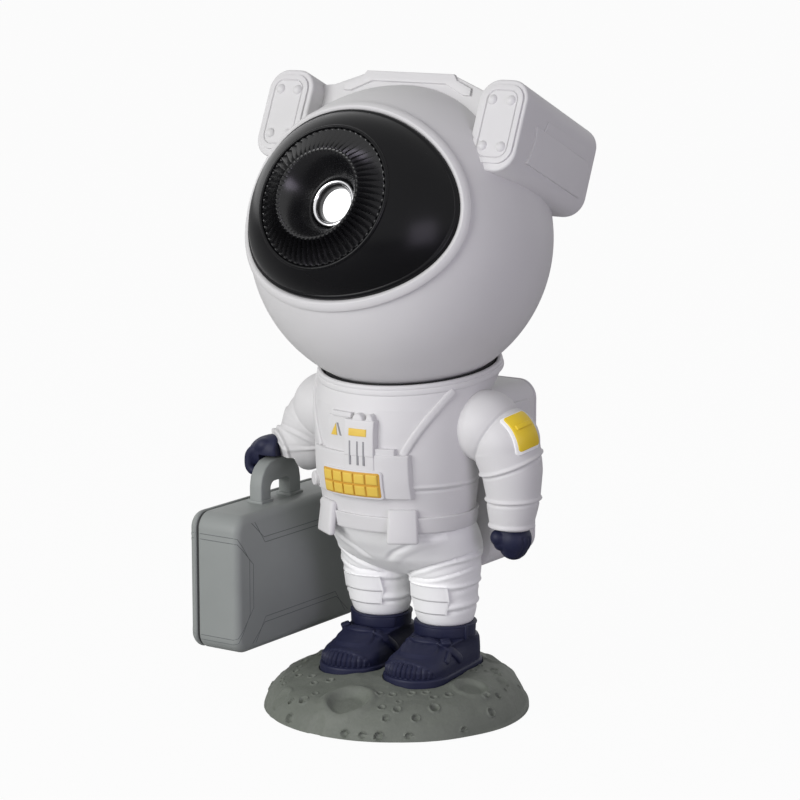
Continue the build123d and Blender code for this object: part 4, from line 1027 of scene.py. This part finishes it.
def ridge(bm, place, normal, width, height, where=None):
    """Raise (or sink) a skin along the plane that a seam lies in."""
    bm.normal_update()
    place, normal = Vector(place), Vector(normal).normalized()
    for vert in bm.verts:
        away = (vert.co - place).dot(normal)
        if abs(away) < width and (where is None or where(vert.co)):
            vert.co += vert.normal * (height * hump(away, width))
    return bm


def shoulder_disc(side):
    """The disc that runs in the torso's armhole."""
    return rod(12.4, (side * 29.6, SHOULDER.y, SHOULDER.z), (side * 37.0, SHOULDER.y, SHOULDER.z))


left = ball(SHOULDER, SHOULDER_R, 64)
add(left, ball((42.0, 7.2, 101.5), 12.3, 64))
add(left, limb([(42.2, 7.3, 99.5, 12.2), (43.6, 7.7, 94.5, 11.5), (44.4, 8.1, 90.0, 10.8),
                (44.5, 8.7, 83.0, 9.8), (44.0, 9.0, 77.0, 9.0), (43.5, 9.2, 70.0, 7.5)]))
left = cut_flat(left, (ARM_INNER, 0, 0), (-1, 0, 0))
add(left, shoulder_disc(1))
left = fused(left, 0.42, 2)
for place, normal, width, height in (((43.6, 7.7, 93.6), (-0.323, -0.218, 1.0), 0.95, 0.75),
                                     ((44.4, 8.8, 80.9), (-0.03, -0.02, 1.0), 0.95, 0.7),
                                     ((43.5, 9.2, 71.0), (0.0, 0.0, 1.0), 1.2, 0.7)):
    ridge(left, place, normal, width, height)
    ridge(left, Vector(place) - Vector(normal).normalized() * 1.25, normal, 0.7, -0.35)
ridge(left, (38.8, 7.0, 103.3), (0.866, 0.044, -0.5), 0.7, -0.4, lambda spot: spot.z > 92.0 and spot.x > 33.0)
left_skin = left.copy()
piece("left_sleeve", left, "left_arm", "suit_shell", suit, "left_arm", crease=60.0)

# ---------------------------------------------------------------- arm patch
# A yellow badge plate with a white border and a raised bar, moulded and glued to the left sleeve. Its face
# is bare.
PATCH_MIDDLE = Vector((52.0, 3.6, 107.0))
PATCH_FACING = (Matrix.Rotation(math.radians(73.0), 3, "Z") @ Matrix.Rotation(math.radians(-25.0), 3, "X")
                @ Matrix.Rotation(math.radians(-11.0), 3, "Y"))
PATCH_WIDE, PATCH_TALL = 4.9, 6.6


def sleeve_plate(skin, across, up, wide, tall, rise, corner):
    """A round-cornered plate pressed on the sleeve at an offset from the patch's middle."""
    bm = round_box((-wide, -1.0, -tall), (wide, 1.0, tall), corner, 0.3, 1)
    for axis, reach in ((0, wide), (2, tall)):
        sliced(bm, axis, [reach * index / 9.5 for index in range(-9, 10)])
    tree = BVHTree.FromBMesh(skin)
    inward = PATCH_FACING @ Vector((0, 1, 0))
    for vert in bm.verts:
        depth = vert.co.y
        start = PATCH_MIDDLE + PATCH_FACING @ Vector((vert.co.x + across, -8.0, vert.co.z + up))
        place = tree.ray_cast(start, inward)[0] or tree.find_nearest(start)[0]
        vert.co = place - inward * (rise * (1.0 - depth) / 2 - 0.5 * (1 + depth) / 2)
    return bm


badge = moulded("patch_yellow", "e4c226", "efd136", cloud=90.0, fine=1500.0, detail=3.0, roughness=0.34,
                vary=0.14, specular=0.45, relief=0.00002)
border = sleeve_plate(left_skin, -0.35, -0.35, PATCH_WIDE + 0.55, PATCH_TALL + 0.55, 0.6, 1.5)
piece("patch_border", border, "left_arm", "suit_shell", trouser_white)
patch = sleeve_plate(left_skin, 0.0, 0.0, PATCH_WIDE, PATCH_TALL, 1.0, 1.2)
add(patch, sleeve_plate(left_skin, 0.0, 1.8, 3.6, 0.9, 1.55, 0.2))
piece("arm_badge", patch, "left_arm", "patch_yellow", badge, "left_arm_patch")
left_skin.free()

# ---------------------------------------------------------------- left glove
# A closed mitten in navy plastic, with a thumb and shallow grooves between the fingers. A round plug holds it
# in the cuff.
mitten = rod(5.2, (43.5, 9.2, 66.0), (43.5, 9.2, 73.0), 64)
for centre, radius in (((44.5, 9.6, 65.9), 6.3), ((44.2, 9.8, 63.6), 5.3), ((40.8, 5.0, 66.8), 3.0),
                       ((41.4, 5.6, 64.6), 2.6)):
    add(mitten, ball(centre, radius))
mitten = fused(mitten, 0.35, 4)
for y in (7.4, 10.2, 13.0):
    ridge(mitten, (44.5, y, 62.0), (0.0, 1.0, 0.1), 0.7, -0.3, lambda spot: spot.x > 44.0 and spot.z < 67.5)
piece("left_mitten", mitten, "left_arm", "navy_plastic", navy, "left_glove", crease=60.0)

# ---------------------------------------------------------------- right arm and glove
# The right sleeve bends forward at the elbow, and its fist of navy plastic closes over the case's handle.
# Sleeve and fist leave room for the handle to swing.
RIGHT_ELBOW = Vector((-44.2, 7.0, 91.6))
RIGHT_CUFF = Vector((-50.4, -1.2, 88.6))
HANDLE_THICK = (-55.5, -50.0)
HANDLE_Y = (-13.3, 11.2)
HANDLE_FOOT = 71.0
HANDLE_TOP = 86.5
WINDOW_Y = (-7.3, 4.6)
WINDOW_TOP = 78.2
GRIP = Vector((0.0, -0.3, 82.4))
SWING = math.radians(8.0)
CLEAR = 0.3


def grip_space():
    """The room that the handle needs as the case swings to and fro in the hand."""
    boxes = []
    for swing in (-SWING, 0.0, SWING):
        box = round_box((HANDLE_THICK[0] - CLEAR, HANDLE_Y[0] - CLEAR, 60.0),
                        (HANDLE_THICK[1] + 8.0, HANDLE_Y[1] + CLEAR, HANDLE_TOP + CLEAR), 6.0, 0.0, 0)
        bmesh.ops.rotate(box, cent=GRIP, matrix=Matrix.Rotation(swing, 3, "X"), verts=box.verts)
        boxes.append(box)
    return boxes


right = ball((-SHOULDER.x, SHOULDER.y, SHOULDER.z), SHOULDER_R, 64)
add(right, ball((-39.5, 7.2, 101.0), 11.5, 64))
add(right, ball(RIGHT_ELBOW, 10.6, 64))
add(right, limb([(-40.5, 7.1, 101.0, 11.4), (-42.5, 7.2, 96.0, 11.1), (-44.0, 7.0, 92.6, 10.7)]))
add(right, limb([(*RIGHT_ELBOW, 10.6), (-46.6, 3.8, 90.4, 9.7), (*RIGHT_CUFF, 7.5)]))
right = cut_flat(right, (-ARM_INNER, 0, 0), (1, 0, 0))
add(right, shoulder_disc(-1))
right = fused(right, 0.42, 2)
fore = (RIGHT_CUFF - RIGHT_ELBOW).normalized()
for place, normal, width, height in ((Vector((-42.6, 7.2, 96.4)), Vector((0.25, -0.50, 1.0)), 0.85, 0.6),
                                     (Vector((-44.4, 7.4, 91.4)), Vector((0.30, 0.55, 1.0)), 0.85, 0.5),
                                     (RIGHT_CUFF - fore * 0.8, fore, 0.95, 0.7)):
    ridge(right, place, normal, width, height)
    ridge(right, place + normal.normalized() * 1.2, normal, 0.6, -0.25)
ridge(right, (-38.55, 7.1, 101.9), (-0.726, 0.055, -0.685), 0.7, -0.35,
      lambda spot: spot.z > 94.0 and spot.x < -33.0)
right = carved(right, *grip_space())
piece("right_sleeve", right, "right_arm", "suit_shell", suit, "right_arm", crease=60.0)

fist = limb([(-50.0, -0.8, 88.8, 5.9), (-52.6, -1.4, 88.7, 6.2), (-55.6, -1.4, 88.2, 5.9),
             (-58.2, -1.0, 86.8, 5.6), (-60.0, -0.8, 84.4, 4.6)])
add(fist, limb([(-52.6, -4.4, 91.4, 2.4), (-54.8, -5.2, 91.0, 2.8), (-57.2, -4.6, 90.0, 2.4)], 48, 30))
for index in range(4):
    y = -5.2 + index * 2.9
    add(fist, limb([(-56.8, y, 89.4, 1.8), (-59.4, y, 88.6, 2.0), (-61.2, y, 86.2, 2.0),
                    (-61.4, y, 83.2, 1.9), (-60.0, y, 81.0, 1.7), (-58.2, y, 80.8, 1.5)], 32, 30))
fist = carved(fused(fist, 0.35, 7), *grip_space())
piece("right_fist", fist, "right_arm", "navy_plastic", navy, "right_glove", crease=40.0)

# ---------------------------------------------------------------- case
# A briefcase in two grey shells with a dark seal between them. Pressed double lines frame its sides, drawn as
# thin dark lines of painted shade, and the moulded handle stands on two plinths.
CASE_LOW = Vector(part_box("case_lid")[0]) / MM
CASE_HIGH = Vector(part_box("case_body")[1]) / MM
SEAL_LOW, SEAL_HIGH = [Vector(corner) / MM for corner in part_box("case_seal")]
CASE_CORNER = 6.0
CASE_EDGE = 3.0
CASE_LIP = 0.7
CASE_FOOT, CASE_TOP = 20.2, 71.0
GROOVE_GAP = 2.0
case = moulded("case_plastic", "8a8e8c", "939795", cloud=50.0, fine=2400.0, detail=4.0, roughness=0.42,
               vary=0.14, specular=0.35, relief=0.00003)


def in_plane(bm, axis, place):
    """The edges in a plane square to an axis."""
    return [edge for edge in bm.edges if all(abs(vert.co[axis] - place) < 1e-4 for vert in edge.verts)]


def case_shell(x0, x1, outer_high):
    """One half of the case: a tray with rounded corners and, on its outer side, a rounded edge."""
    bm = round_box((x0, CASE_LOW.y, CASE_FOOT), (x1, CASE_HIGH.y, CASE_TOP), CASE_CORNER, 0.0, 0)
    rounded(bm, in_plane(bm, 0, x1 if outer_high else x0), CASE_EDGE, 8)
    return rounded(bm, in_plane(bm, 0, x0 if outer_high else x1), CASE_LIP, 3)


def groove_lines(face_x, seam_x):
    """Every pressed double line on one shell: brackets at the two ends and open frames above and below."""
    lines = []
    toward = 1 if face_x > seam_x else -1
    for offset in (0.0, GROOVE_GAP):
        for side, end in ((-1, CASE_LOW.y), (1, CASE_HIGH.y)):
            z_top, z_low = 63.6 - offset, 24.0 + offset
            reach = 7.0 + offset * 1.1
            turn_x = face_x - toward * 0.4
            lines.append([(seam_x, end, z_top), (face_x - toward * 2.5, end, z_top),
                          (turn_x, end - side * 0.6, z_top - 0.3), (face_x, end - side * reach, z_top - 9.0),
                          (face_x, end - side * reach, z_low + 10.5), (turn_x, end - side * 0.6, z_low + 0.6),
                          (face_x - toward * 2.5, end, z_low), (seam_x, end, z_low)])
        for z_edge, way in ((CASE_TOP, -1), (CASE_FOOT, 1)):
            z_far, z_near = z_edge + way * (9.5 + offset), z_edge + way * 3.0
            lines.append([(face_x, -30.0 + offset, z_near), (face_x, -22.5 + offset * 0.3, z_far),
                          (face_x, 22.5 - offset * 0.3, z_far), (face_x, 30.0 - offset, z_near)])
    return lines


def wire(points, radius):
    """A thin round line through straight runs, for a groove's painted shade."""
    data = bpy.data.curves.new("line", "CURVE")
    data.dimensions = "3D"
    data.bevel_depth = radius
    data.bevel_resolution = 2
    spline = data.splines.new("POLY")
    spline.points.add(len(points) - 1)
    for spot, point in zip(spline.points, points):
        spot.co = (*point, 1.0)
    made = stood("line", data)
    mesh = bpy.data.meshes.new_from_object(made)
    bm = bmesh.new()
    bm.from_mesh(mesh)
    bpy.data.objects.remove(made)
    bpy.data.meshes.remove(mesh)
    return sealed(bm)


def laid_line(skin, points, radius, sink):
    """A fine dark line of painted shade for a groove, laid on a skin: its points are pulled to the skin."""
    tree = BVHTree.FromBMesh(skin)
    path = []
    for start, end in zip(points, points[1:]):
        steps = max(1, int(math.dist(start, end) / 1.0))
        for index in range(steps):
            path.append(nearest(tree, Vector(start).lerp(Vector(end), index / steps)))
    path.append(nearest(tree, points[-1]))
    return wire([place - normal * sink for place, normal in path], radius)


body_shell = case_shell(SEAL_HIGH.x, CASE_HIGH.x, True)
lid_shell = case_shell(CASE_LOW.x, SEAL_LOW.x, False)
# The pressed lines are painted shade: thin dark lines that stand for the shadow in each groove.
groove = flat("groove_shade_line", "55595a", "626667", 800.0, 0.6)
groove_shade_marks = bmesh.new()
for line in groove_lines(CASE_HIGH.x, SEAL_HIGH.x):
    add(groove_shade_marks, laid_line(body_shell, line, 0.17, 0.10))
for line in groove_lines(CASE_LOW.x, SEAL_LOW.x):
    add(groove_shade_marks, laid_line(lid_shell, line, 0.17, 0.10))
piece("case_groove_shade_lines", groove_shade_marks, "case", "case_plastic", groove)
piece("case_front_shell", body_shell, "case", "case_plastic", case, "case_body")
piece("case_back_shell", lid_shell, "case", "case_plastic", case, "case_lid")

rubber = flat("seal_rubber", "1c1d1e", "28292a", 1500.0, 0.7)
seal = round_box((SEAL_LOW.x - 0.3, CASE_LOW.y + 0.6, CASE_FOOT + 0.6),
                 (SEAL_HIGH.x + 0.3, CASE_HIGH.y - 0.6, CASE_TOP - 0.6), 5.6, 0.2, 0)
piece("case_gasket", seal, "case", "seal_rubber", rubber, "case_seal")


def arc(centre_y, centre_z, radius, start, end, steps):
    """Points on a round corner, from one heading to another, in degrees."""
    angles = [math.radians(start + (end - start) * index / steps) for index in range(steps + 1)]
    return [(centre_y + radius * math.cos(angle), centre_z + radius * math.sin(angle)) for angle in angles]


def handle_form():
    outer_r, inner_r = 9.5, 2.7
    outline = [(HANDLE_Y[0], HANDLE_FOOT - 0.5)]
    outline += arc(HANDLE_Y[0] + outer_r, HANDLE_TOP - outer_r, outer_r, 180, 90, 4)
    outline += arc(HANDLE_Y[1] - outer_r, HANDLE_TOP - outer_r, outer_r, 90, 0, 4)
    outline += [(HANDLE_Y[1], HANDLE_FOOT - 0.5), (WINDOW_Y[1], HANDLE_FOOT - 0.5)]
    outline += arc(WINDOW_Y[1] - inner_r, WINDOW_TOP - inner_r, inner_r, 0, 90, 6)
    outline += arc(WINDOW_Y[0] + inner_r, WINDOW_TOP - inner_r, inner_r, 90, 180, 6)
    outline += [(WINDOW_Y[0], HANDLE_FOOT - 0.5)]
    bm = drawn([(HANDLE_THICK[0], y, z) for y, z in outline], (HANDLE_THICK[1] - HANDLE_THICK[0], 0, 0))
    rim = [edge for edge in level(bm, 0) if max(vert.co.z for vert in edge.verts) > HANDLE_FOOT - 0.4]
    rounded(bm, rim, 0.55, 3)
    for y0, y1 in ((HANDLE_Y[0] - 0.7, WINDOW_Y[0] + 0.8), (WINDOW_Y[1] - 0.8, HANDLE_Y[1] + 0.7)):
        add(bm, round_box((HANDLE_THICK[0] - 0.7, y0, HANDLE_FOOT - 0.6),
                          (HANDLE_THICK[1] + 0.7, y1, HANDLE_FOOT + 0.95), 0.6, 0.35, 2))
    return bm


piece("case_grip", handle_form(), "case", "case_plastic", case, "case_handle")

# ---------------------------------------------------------------- helmet
# A ball of light grey plastic, aimed on its seat. A turned bezel frames the face, and a round cover with the
# buttons and the power inlet closes the back on four screws.
HELMET_R = 54.0
WALL = 2.4
FACE_WIDE = 43.4
FACE_TALL = 34.0
FACE_DROP = 1.0
BEZEL_RISE = 1.3
COVER_R = 26.8
LIP_ARC = 5.0
LIP_ROWS = 0.3


def face_reach(turn, grow=0.0):
    """How far the face opening reaches from the head's axis at a turn."""
    c, s = math.cos(turn), math.sin(turn)
    wide, tall = FACE_WIDE + grow, FACE_TALL + grow
    a = (c / wide) ** 2 + (s / tall) ** 2
    b = 2 * s * FACE_DROP / tall ** 2
    k = (FACE_DROP / tall) ** 2 - 1
    return (-b + math.sqrt(b * b - 4 * a * k)) / (2 * a)


def about_axis(turn, reach, depth):
    """A place in the head's frame: out from its axis by reach, at a depth that grows to the rear."""
    return Vector((reach * math.cos(turn), depth, reach * math.sin(turn)))


BEZEL_LINE = Contour([
    (0.0, -WALL), (0.3, 0.1), (0.55, 0.85), (1.0, BEZEL_RISE), (2.2, BEZEL_RISE + 0.1),
    (3.7, BEZEL_RISE - 0.1), (4.05, BEZEL_RISE - 0.4), (4.25, 0.0), (5.0, 0.0), (400.0, 0.0)])


def helmet_form(turn, rise):
    start = math.asin(face_reach(turn, 0.1) / HELMET_R)
    end = math.pi - math.asin((COVER_R + 0.15) / HELMET_R)
    whole = HELMET_R * (end - start)
    arc_at = LIP_ARC * rise / LIP_ROWS
    if rise >= LIP_ROWS:
        arc_at = LIP_ARC + (whole - LIP_ARC) * (rise - LIP_ROWS) / (1 - LIP_ROWS)
    swell = BEZEL_LINE(round(arc_at, 3))[0]
    lean = start + max(arc_at - 0.3, 0.0) / HELMET_R
    radius = HELMET_R + swell
    if rise > 0.995:
        radius -= 0.6
    return about_axis(turn, radius * math.sin(lean), -radius * math.cos(lean))


def headed(bm):
    """Take a form from the head's frame to the figure's."""
    bmesh.ops.transform(bm, matrix=HEAD, verts=bm.verts)
    return bm


piece("helmet_ball", headed(tube(224, 170, helmet_form)), "head", "suit_shell", suit, "helmet_shell",
      crease=40.0)

BUTTONS = {"power_button": 0.0, "stars_button": -12.0, "nebula_button": 12.0}
BUTTON_Z = 6.0
BUTTON_R = 4.0
COVER_ROWS = 0.06


def rear_cover_form(turn, rise):
    if rise < COVER_ROWS:
        edge_y = math.sqrt(HELMET_R ** 2 - COVER_R ** 2)
        return about_axis(turn, COVER_R, edge_y - 2.0 * (1 - rise / COVER_ROWS) - 0.2)
    reach = (COVER_R - 0.35) * (1 - rise) / (1 - COVER_ROWS)
    spot = about_axis(turn, reach, math.sqrt(HELMET_R ** 2 - reach ** 2))
    for x in BUTTONS.values():
        away = math.hypot(spot.x - x, spot.z - BUTTON_Z)
        spot.y -= 0.8 * smooth((BUTTON_R + 0.55 - away) / 0.3)
    return spot


piece("helmet_back_cover", headed(tube(192, 120, rear_cover_form)), "head", "suit_shell", suit,
      "helmet_rear_cover", crease=40.0)

# ---------------------------------------------------------------- pods and yoke
# A hollow pod of suit plastic on each side of the crown, with a riveted front plate. A moulded yoke over the
# helmet joins the two.
POD_X = (35.2, 54.5)
POD_Y = (-24.5, 29.0)
POD_Z = (19.7, 52.6)
PLATE_X = (37.0, 53.2)
PLATE_Z = (22.3, 50.5)
PLATE_RISE, PLATE_CORNER = 0.8, 5.6
RIVET_X = (41.2, 48.6)
RIVET_Z = (28.2, 44.8)
RIVET_R = 2.1
SLAB_SINK = 0.5
POD_CORNER = 7.5


def pod_form():
    bm = round_box((POD_X[0], POD_Y[0], POD_Z[0]), (POD_X[1], POD_Y[1], POD_Z[1]), POD_CORNER, 0.0, 1)
    rounded(bm, in_plane(bm, 1, POD_Y[0]), 0.9, 4)
    return rounded(bm, in_plane(bm, 1, POD_Y[1]), 3.0, 6)


def side_slab(outline, rise, round_by):
    """A raised panel on a pod's outer side, from an outline of (y, z) points."""
    bm = drawn([(POD_X[1] - SLAB_SINK, y, z) for y, z in outline], (SLAB_SINK + rise, 0, 0))
    rim = [edge for edge in bm.edges if all(vert.co.x > POD_X[1] for vert in edge.verts)]
    return rounded(bm, rim, round_by, 3)


def plate_form():
    """A pod's front plate: rounded edge, then a groove that frames its middle."""
    bm = round_box((PLATE_X[0], POD_Y[0] - PLATE_RISE, PLATE_Z[0]),
                   (PLATE_X[1], POD_Y[0] + 0.5, PLATE_Z[1]), PLATE_CORNER, 0.0, 1)

    def front():
        return max((face for face in bm.faces if face.normal.y < -0.9), key=lambda face: face.calc_area())
    rounded(bm, front().edges[:], 0.3, 2)
    for thickness, depth in ((1.5, 0.0), (0.3, -0.5), (0.3, 0.45)):
        bmesh.ops.inset_region(bm, faces=[front()], thickness=thickness, depth=depth)
    return bm


for name, side in (("left", 1), ("right", -1)):
    pod = pod_form()
    main = [(-15.6, 39.2), (-14.9, 35.8), (-14.8, 32.4), (-15.5, 29.0), (-16.9, 25.5), (21.5, 25.5),
            (24.0, 28.0), (24.0, 36.5), (21.5, 39.2)]
    strip = [(-9.8, 39.2), (20.5, 39.2), (19.0, 43.4), (-8.6, 43.4)]
    add(pod, side_slab(main, 0.8, 0.4))
    add(pod, side_slab(strip, 0.45, 0.2))
    piece(name + "_pod_shell", headed(mirrored(pod, side)), "head", "suit_shell", suit, "pod_" + name)
faces = bmesh.new()
heads = bmesh.new()
for side in (1, -1):
    add(faces, mirrored(plate_form(), side))
    for x in RIVET_X:
        for z in RIVET_Z:
            add(heads, mirrored(ball((x, POD_Y[0] + 0.2, z), RIVET_R, 32), side))
piece("pod_plates", headed(faces), "head", "suit_shell", suit, "pod_faces")
piece("pod_rivet_heads", headed(heads), "head", "suit_shell", suit, "pod_rivets")


def arch_slab(outline, y0, y1, round_by):
    """A slab of the yoke: an (x, z) outline drawn back along the head's axis, with its front edge rounded."""
    bm = drawn([(x, y0, z) for x, z in outline], (0, y1 - y0, 0))
    rim = [edge for edge in level(bm, 1) if max(vert.co.z for vert in edge.verts) > 40.0]
    return rounded(bm, rim, round_by, 3)


YOKE_Y = (-17.0, 22.0)
YOKE_TOP = 55.8


def both_sides(half):
    """A closed outline from its +X half, given from the middle outwards and back."""
    return half + [(-x, z) for x, z in reversed(half)]


yoke = arch_slab(both_sides([(18.4, YOKE_TOP - 0.3), (32.0, 50.4), (36.5, 50.0), (36.5, 25.0)]), *YOKE_Y, 0.5)
strip = both_sides([(18.4, YOKE_TOP), (20.0, 53.6), (26.6, 50.9), (26.8, 48.2), (23.8, 48.2), (15.5, 52.1)])
add(yoke, arch_slab(strip, YOKE_Y[0] - 1.1, YOKE_Y[0] + 1.0, 0.35))
crown = both_sides([(15.0, YOKE_TOP + 0.3), (16.0, 54.2)])
add(yoke, arch_slab(crown, YOKE_Y[0] + 3.0, YOKE_Y[1] - 4.0, 0.3))
piece("helmet_yoke", headed(yoke), "head", "suit_shell", suit, "yoke")

# ---------------------------------------------------------------- visor
# A black glossy faceplate, moulded in one piece, that fills the oval opening and swells forward to a round
# lip for the lens hood.
OPTIC_DROP = Vector((0.0, 0.0, -1.5))
LIP_R, LIP_Y = 26.1, -50.9
LIP_ROUND = 0.75
EDGE_ROWS, ROLL_ROWS, SWELL_ROWS = 0.06, 0.14, 0.9


def visor_form(turn, rise):
    reach = face_reach(turn, -0.15)
    edge_y = -math.sqrt(HELMET_R ** 2 - reach ** 2)
    if rise < EDGE_ROWS:
        return about_axis(turn, reach, edge_y + 2.4 * (1 - rise / EDGE_ROWS) - 0.3)
    if rise < ROLL_ROWS:
        lean = (rise - EDGE_ROWS) / (ROLL_ROWS - EDGE_ROWS) * math.pi / 2
        return about_axis(turn, reach - 1.1 * (1 - math.cos(lean)), edge_y - 0.3 - 1.3 * math.sin(lean))
    if rise < SWELL_ROWS:
        share = (rise - ROLL_ROWS) / (SWELL_ROWS - ROLL_ROWS)
        start = about_axis(turn, reach - 1.1, edge_y - 1.6)
        run = about_axis(turn, LIP_R, LIP_Y) + OPTIC_DROP - start
        outward = about_axis(turn, 1.0, 0.0)
        outward -= run * (outward.dot(run) / run.length_squared)
        return start + run * share + outward.normalized() * (0.27 * run.length * share * (1 - share))
    lean = math.pi * (rise - SWELL_ROWS) / (1 - SWELL_ROWS)
    reach = LIP_R - LIP_ROUND * (1 - math.cos(lean))
    return about_axis(turn, reach, LIP_Y - math.sin(lean)) + OPTIC_DROP


gloss = moulded("visor_black", "0d0d0f", "131315", cloud=60.0, fine=1600.0, detail=2.0, roughness=0.22,
                vary=0.05, specular=0.14, relief=0.000004)
piece("face_visor", headed(tube(256, 120, visor_form)), "head", "visor_black", gloss, "visor", crease=50.0)

# ---------------------------------------------------------------- lens hood
# A ring of sixty saw-tooth pleats falls away from the crest, and a smooth funnel leads in to the lens. Both
# are one black moulding, pressed into the visor's lip.
PLEATS = 60
HOOD_R, HOOD_Y = 24.5, -51.3
CREST_R, CREST_Y = 16.0, -55.6
THROAT_R, THROAT_Y = 8.7, -43.8
PLEAT_RISE = 1.9
PLEAT_TIP = 0.9
RIM_ROWS, PLEAT_ROWS = 0.08, 0.62
HOOD_SEGMENTS = PLEATS * 8


def hood_form(turn, rise):
    tooth = (turn / math.tau * PLEATS) % 1.0
    saw = (tooth / 0.75 if tooth < 0.75 else (1.0 - tooth) / 0.25) - 0.45
    if rise < RIM_ROWS:
        return about_axis(turn, HOOD_R, HOOD_Y + 4.0 * (1 - rise / RIM_ROWS)) + OPTIC_DROP
    if rise < PLEAT_ROWS:
        share = (rise - RIM_ROWS) / (PLEAT_ROWS - RIM_ROWS)
        lift = PLEAT_RISE * saw * smooth(share / 0.05) * smooth((1 - share) / 0.07) * (0.5 + 0.6 * share)
        tip = PLEAT_TIP * saw * smooth((share - 0.75) / 0.25)
        reach = HOOD_R + (CREST_R - HOOD_R) * share + 0.4 * lift - tip
        return about_axis(turn, reach, HOOD_Y + (CREST_Y - HOOD_Y) * share - 0.9 * lift) + OPTIC_DROP
    share = (rise - PLEAT_ROWS) / (1 - PLEAT_ROWS)
    reach = CREST_R + (THROAT_R - CREST_R) * share ** 0.85 - PLEAT_TIP * saw * (1 - smooth(share / 0.1))
    return about_axis(turn, reach, CREST_Y + (THROAT_Y - CREST_Y) * share ** 1.2) + OPTIC_DROP


hood_black = moulded("hood_black", "101012", "171719", cloud=80.0, fine=2200.0, detail=3.0, roughness=0.2,
                     vary=0.12, specular=0.45, relief=0.00001)
piece("pleated_hood", headed(tube(HOOD_SEGMENTS, 96, hood_form)), "head", "hood_black", hood_black,
      "lens_hood", crease=35.0)

# ---------------------------------------------------------------- lens
# A ground glass lens in a chrome ring; the lens glows white by a painted emission, with no lamp behind it.
# A short black band inside the ring is painted shade, the dark shadow between the chrome and the glass.
chrome = Finish(bpy.data.materials.new("lens_chrome"))
chrome.surface(Base_Color=chrome.mixed(chrome.grain(300.0), paint("d9d9dc"), paint("ececee")), Metallic=1.0,
               Roughness=0.08 + 0.06 * chrome.grain(2500.0))
CHROME_LINE = traced([(8.5, -41.4), (8.5, -44.0), (8.3, -44.7), (7.8, -45.0), (7.2, -44.7), (6.7, -43.9),
                      (6.2, -42.4), (6.2, -41.4)])
SHADE_BAND_LINE = traced([(6.15, -41.5), (6.15, -42.8), (6.6, -44.0), (7.3, -44.6), (7.4, -44.1), (7.0, -42.4),
                      (6.9, -41.5)])
LENS_LINE = traced([(6.3, -39.8), (6.3, -41.4), (6.0, -41.6), (5.7, -41.5), (5.5, -41.7), (4.4, -41.95),
                    (2.4, -42.15), (0.0, -42.2)])


def lathe(line, segments=128, rows=40):
    """A form turned about the lens's axis."""
    return tube(segments, rows, lambda turn, rise: about_axis(turn, *line(rise)) + OPTIC_DROP)


# The black band is painted shade on the ring's inner wall, where the shadow falls between chrome and glass.
piece("lens_painted_shade", headed(lathe(SHADE_BAND_LINE)), "head", "hood_black", hood_black, crease=60.0)
piece("chrome_ring", headed(lathe(CHROME_LINE)), "head", "lens_chrome", chrome, "lens_ring", crease=60.0)
# The lens's white glow is painted light: an emission of 0.9 on the glass.
glass = Finish(bpy.data.materials.new("lens_glass"))
glass.surface(Base_Color=glass.mixed(glass.grain(400.0), paint("f6f8fb"), paint("ffffff")),
              Roughness=0.06 + 0.03 * glass.grain(900.0), Coat_Weight=1.0, Emission_Color=paint("ffffff"),
              Emission_Strength=0.9)
piece("lens_painted_glow", headed(sealed(lathe(LENS_LINE))), "head", "lens_glass", glass, "projection_lens",
      crease=40.0)

# ---------------------------------------------------------------- inner works and small hardware
# Screws, pins, plates, boards and the optics keep their CAD shapes and take the finish of their stuff.
def plain(name, low, high, roughness, scale=600.0, **sockets):
    """A finish with a fine cloud of two close shades."""
    made = Finish(bpy.data.materials.new(name))
    cloud = made.grain(scale, 3.0)
    return made.surface(Base_Color=made.mixed(cloud, paint(low), paint(high)),
                        Roughness=roughness + 0.1 * cloud, **sockets)


steel = plain("plain_steel", "a4a6a8", "b6b8ba", 0.28, Metallic=1.0)
magnet = plain("magnet_nickel", "b8b8b4", "c8c8c4", 0.2, Metallic=1.0)
ring_black = plain("ring_black", "141416", "1b1b1d", 0.45)
board = plain("board_green", "1f5a3a", "2a6b46", 0.45)
frame_black = plain("frame_black", "1b1b1d", "252527", 0.5)
disc = plain("disc_clear", "9fb4d6", "b7c7e2", 0.15)
pinion = plain("pinion_white", "e4e2da", "efeee8", 0.4)
brass = plain("laser_brass", "b08d4a", "c6a25a", 0.25, Metallic=1.0)
keys = plain("key_grey", "8e9092", "9c9ea0", 0.45)
foam = plain("pad_foam", "2a2b2c", "38393a", 0.85)
HARDWARE = {
    steel: ["base_plate", "ballast_plate", "base_screws", "shoulder_pins", "backpack_screws", "helmet_screws",
            "head_steel_cap", "grip_pin", "usb_socket", "disc_motor"],
    magnet: ["neck_magnet"], ring_black: ["swivel_ring", "seat_washer"], board: ["led_board", "main_board"],
    frame_black: ["optics_frame"], disc: ["nebula_disc"], pinion: ["motor_pinion"], brass: ["laser_module"],
    keys: ["power_button", "stars_button", "nebula_button"], foam: ["base_pad"]}
for finish, names in HARDWARE.items():
    for name in names:
        mesh = frame["nodes"][name].data
        mesh.materials.clear()
        mesh.materials.append(finish.owner)

torso_skin.free()
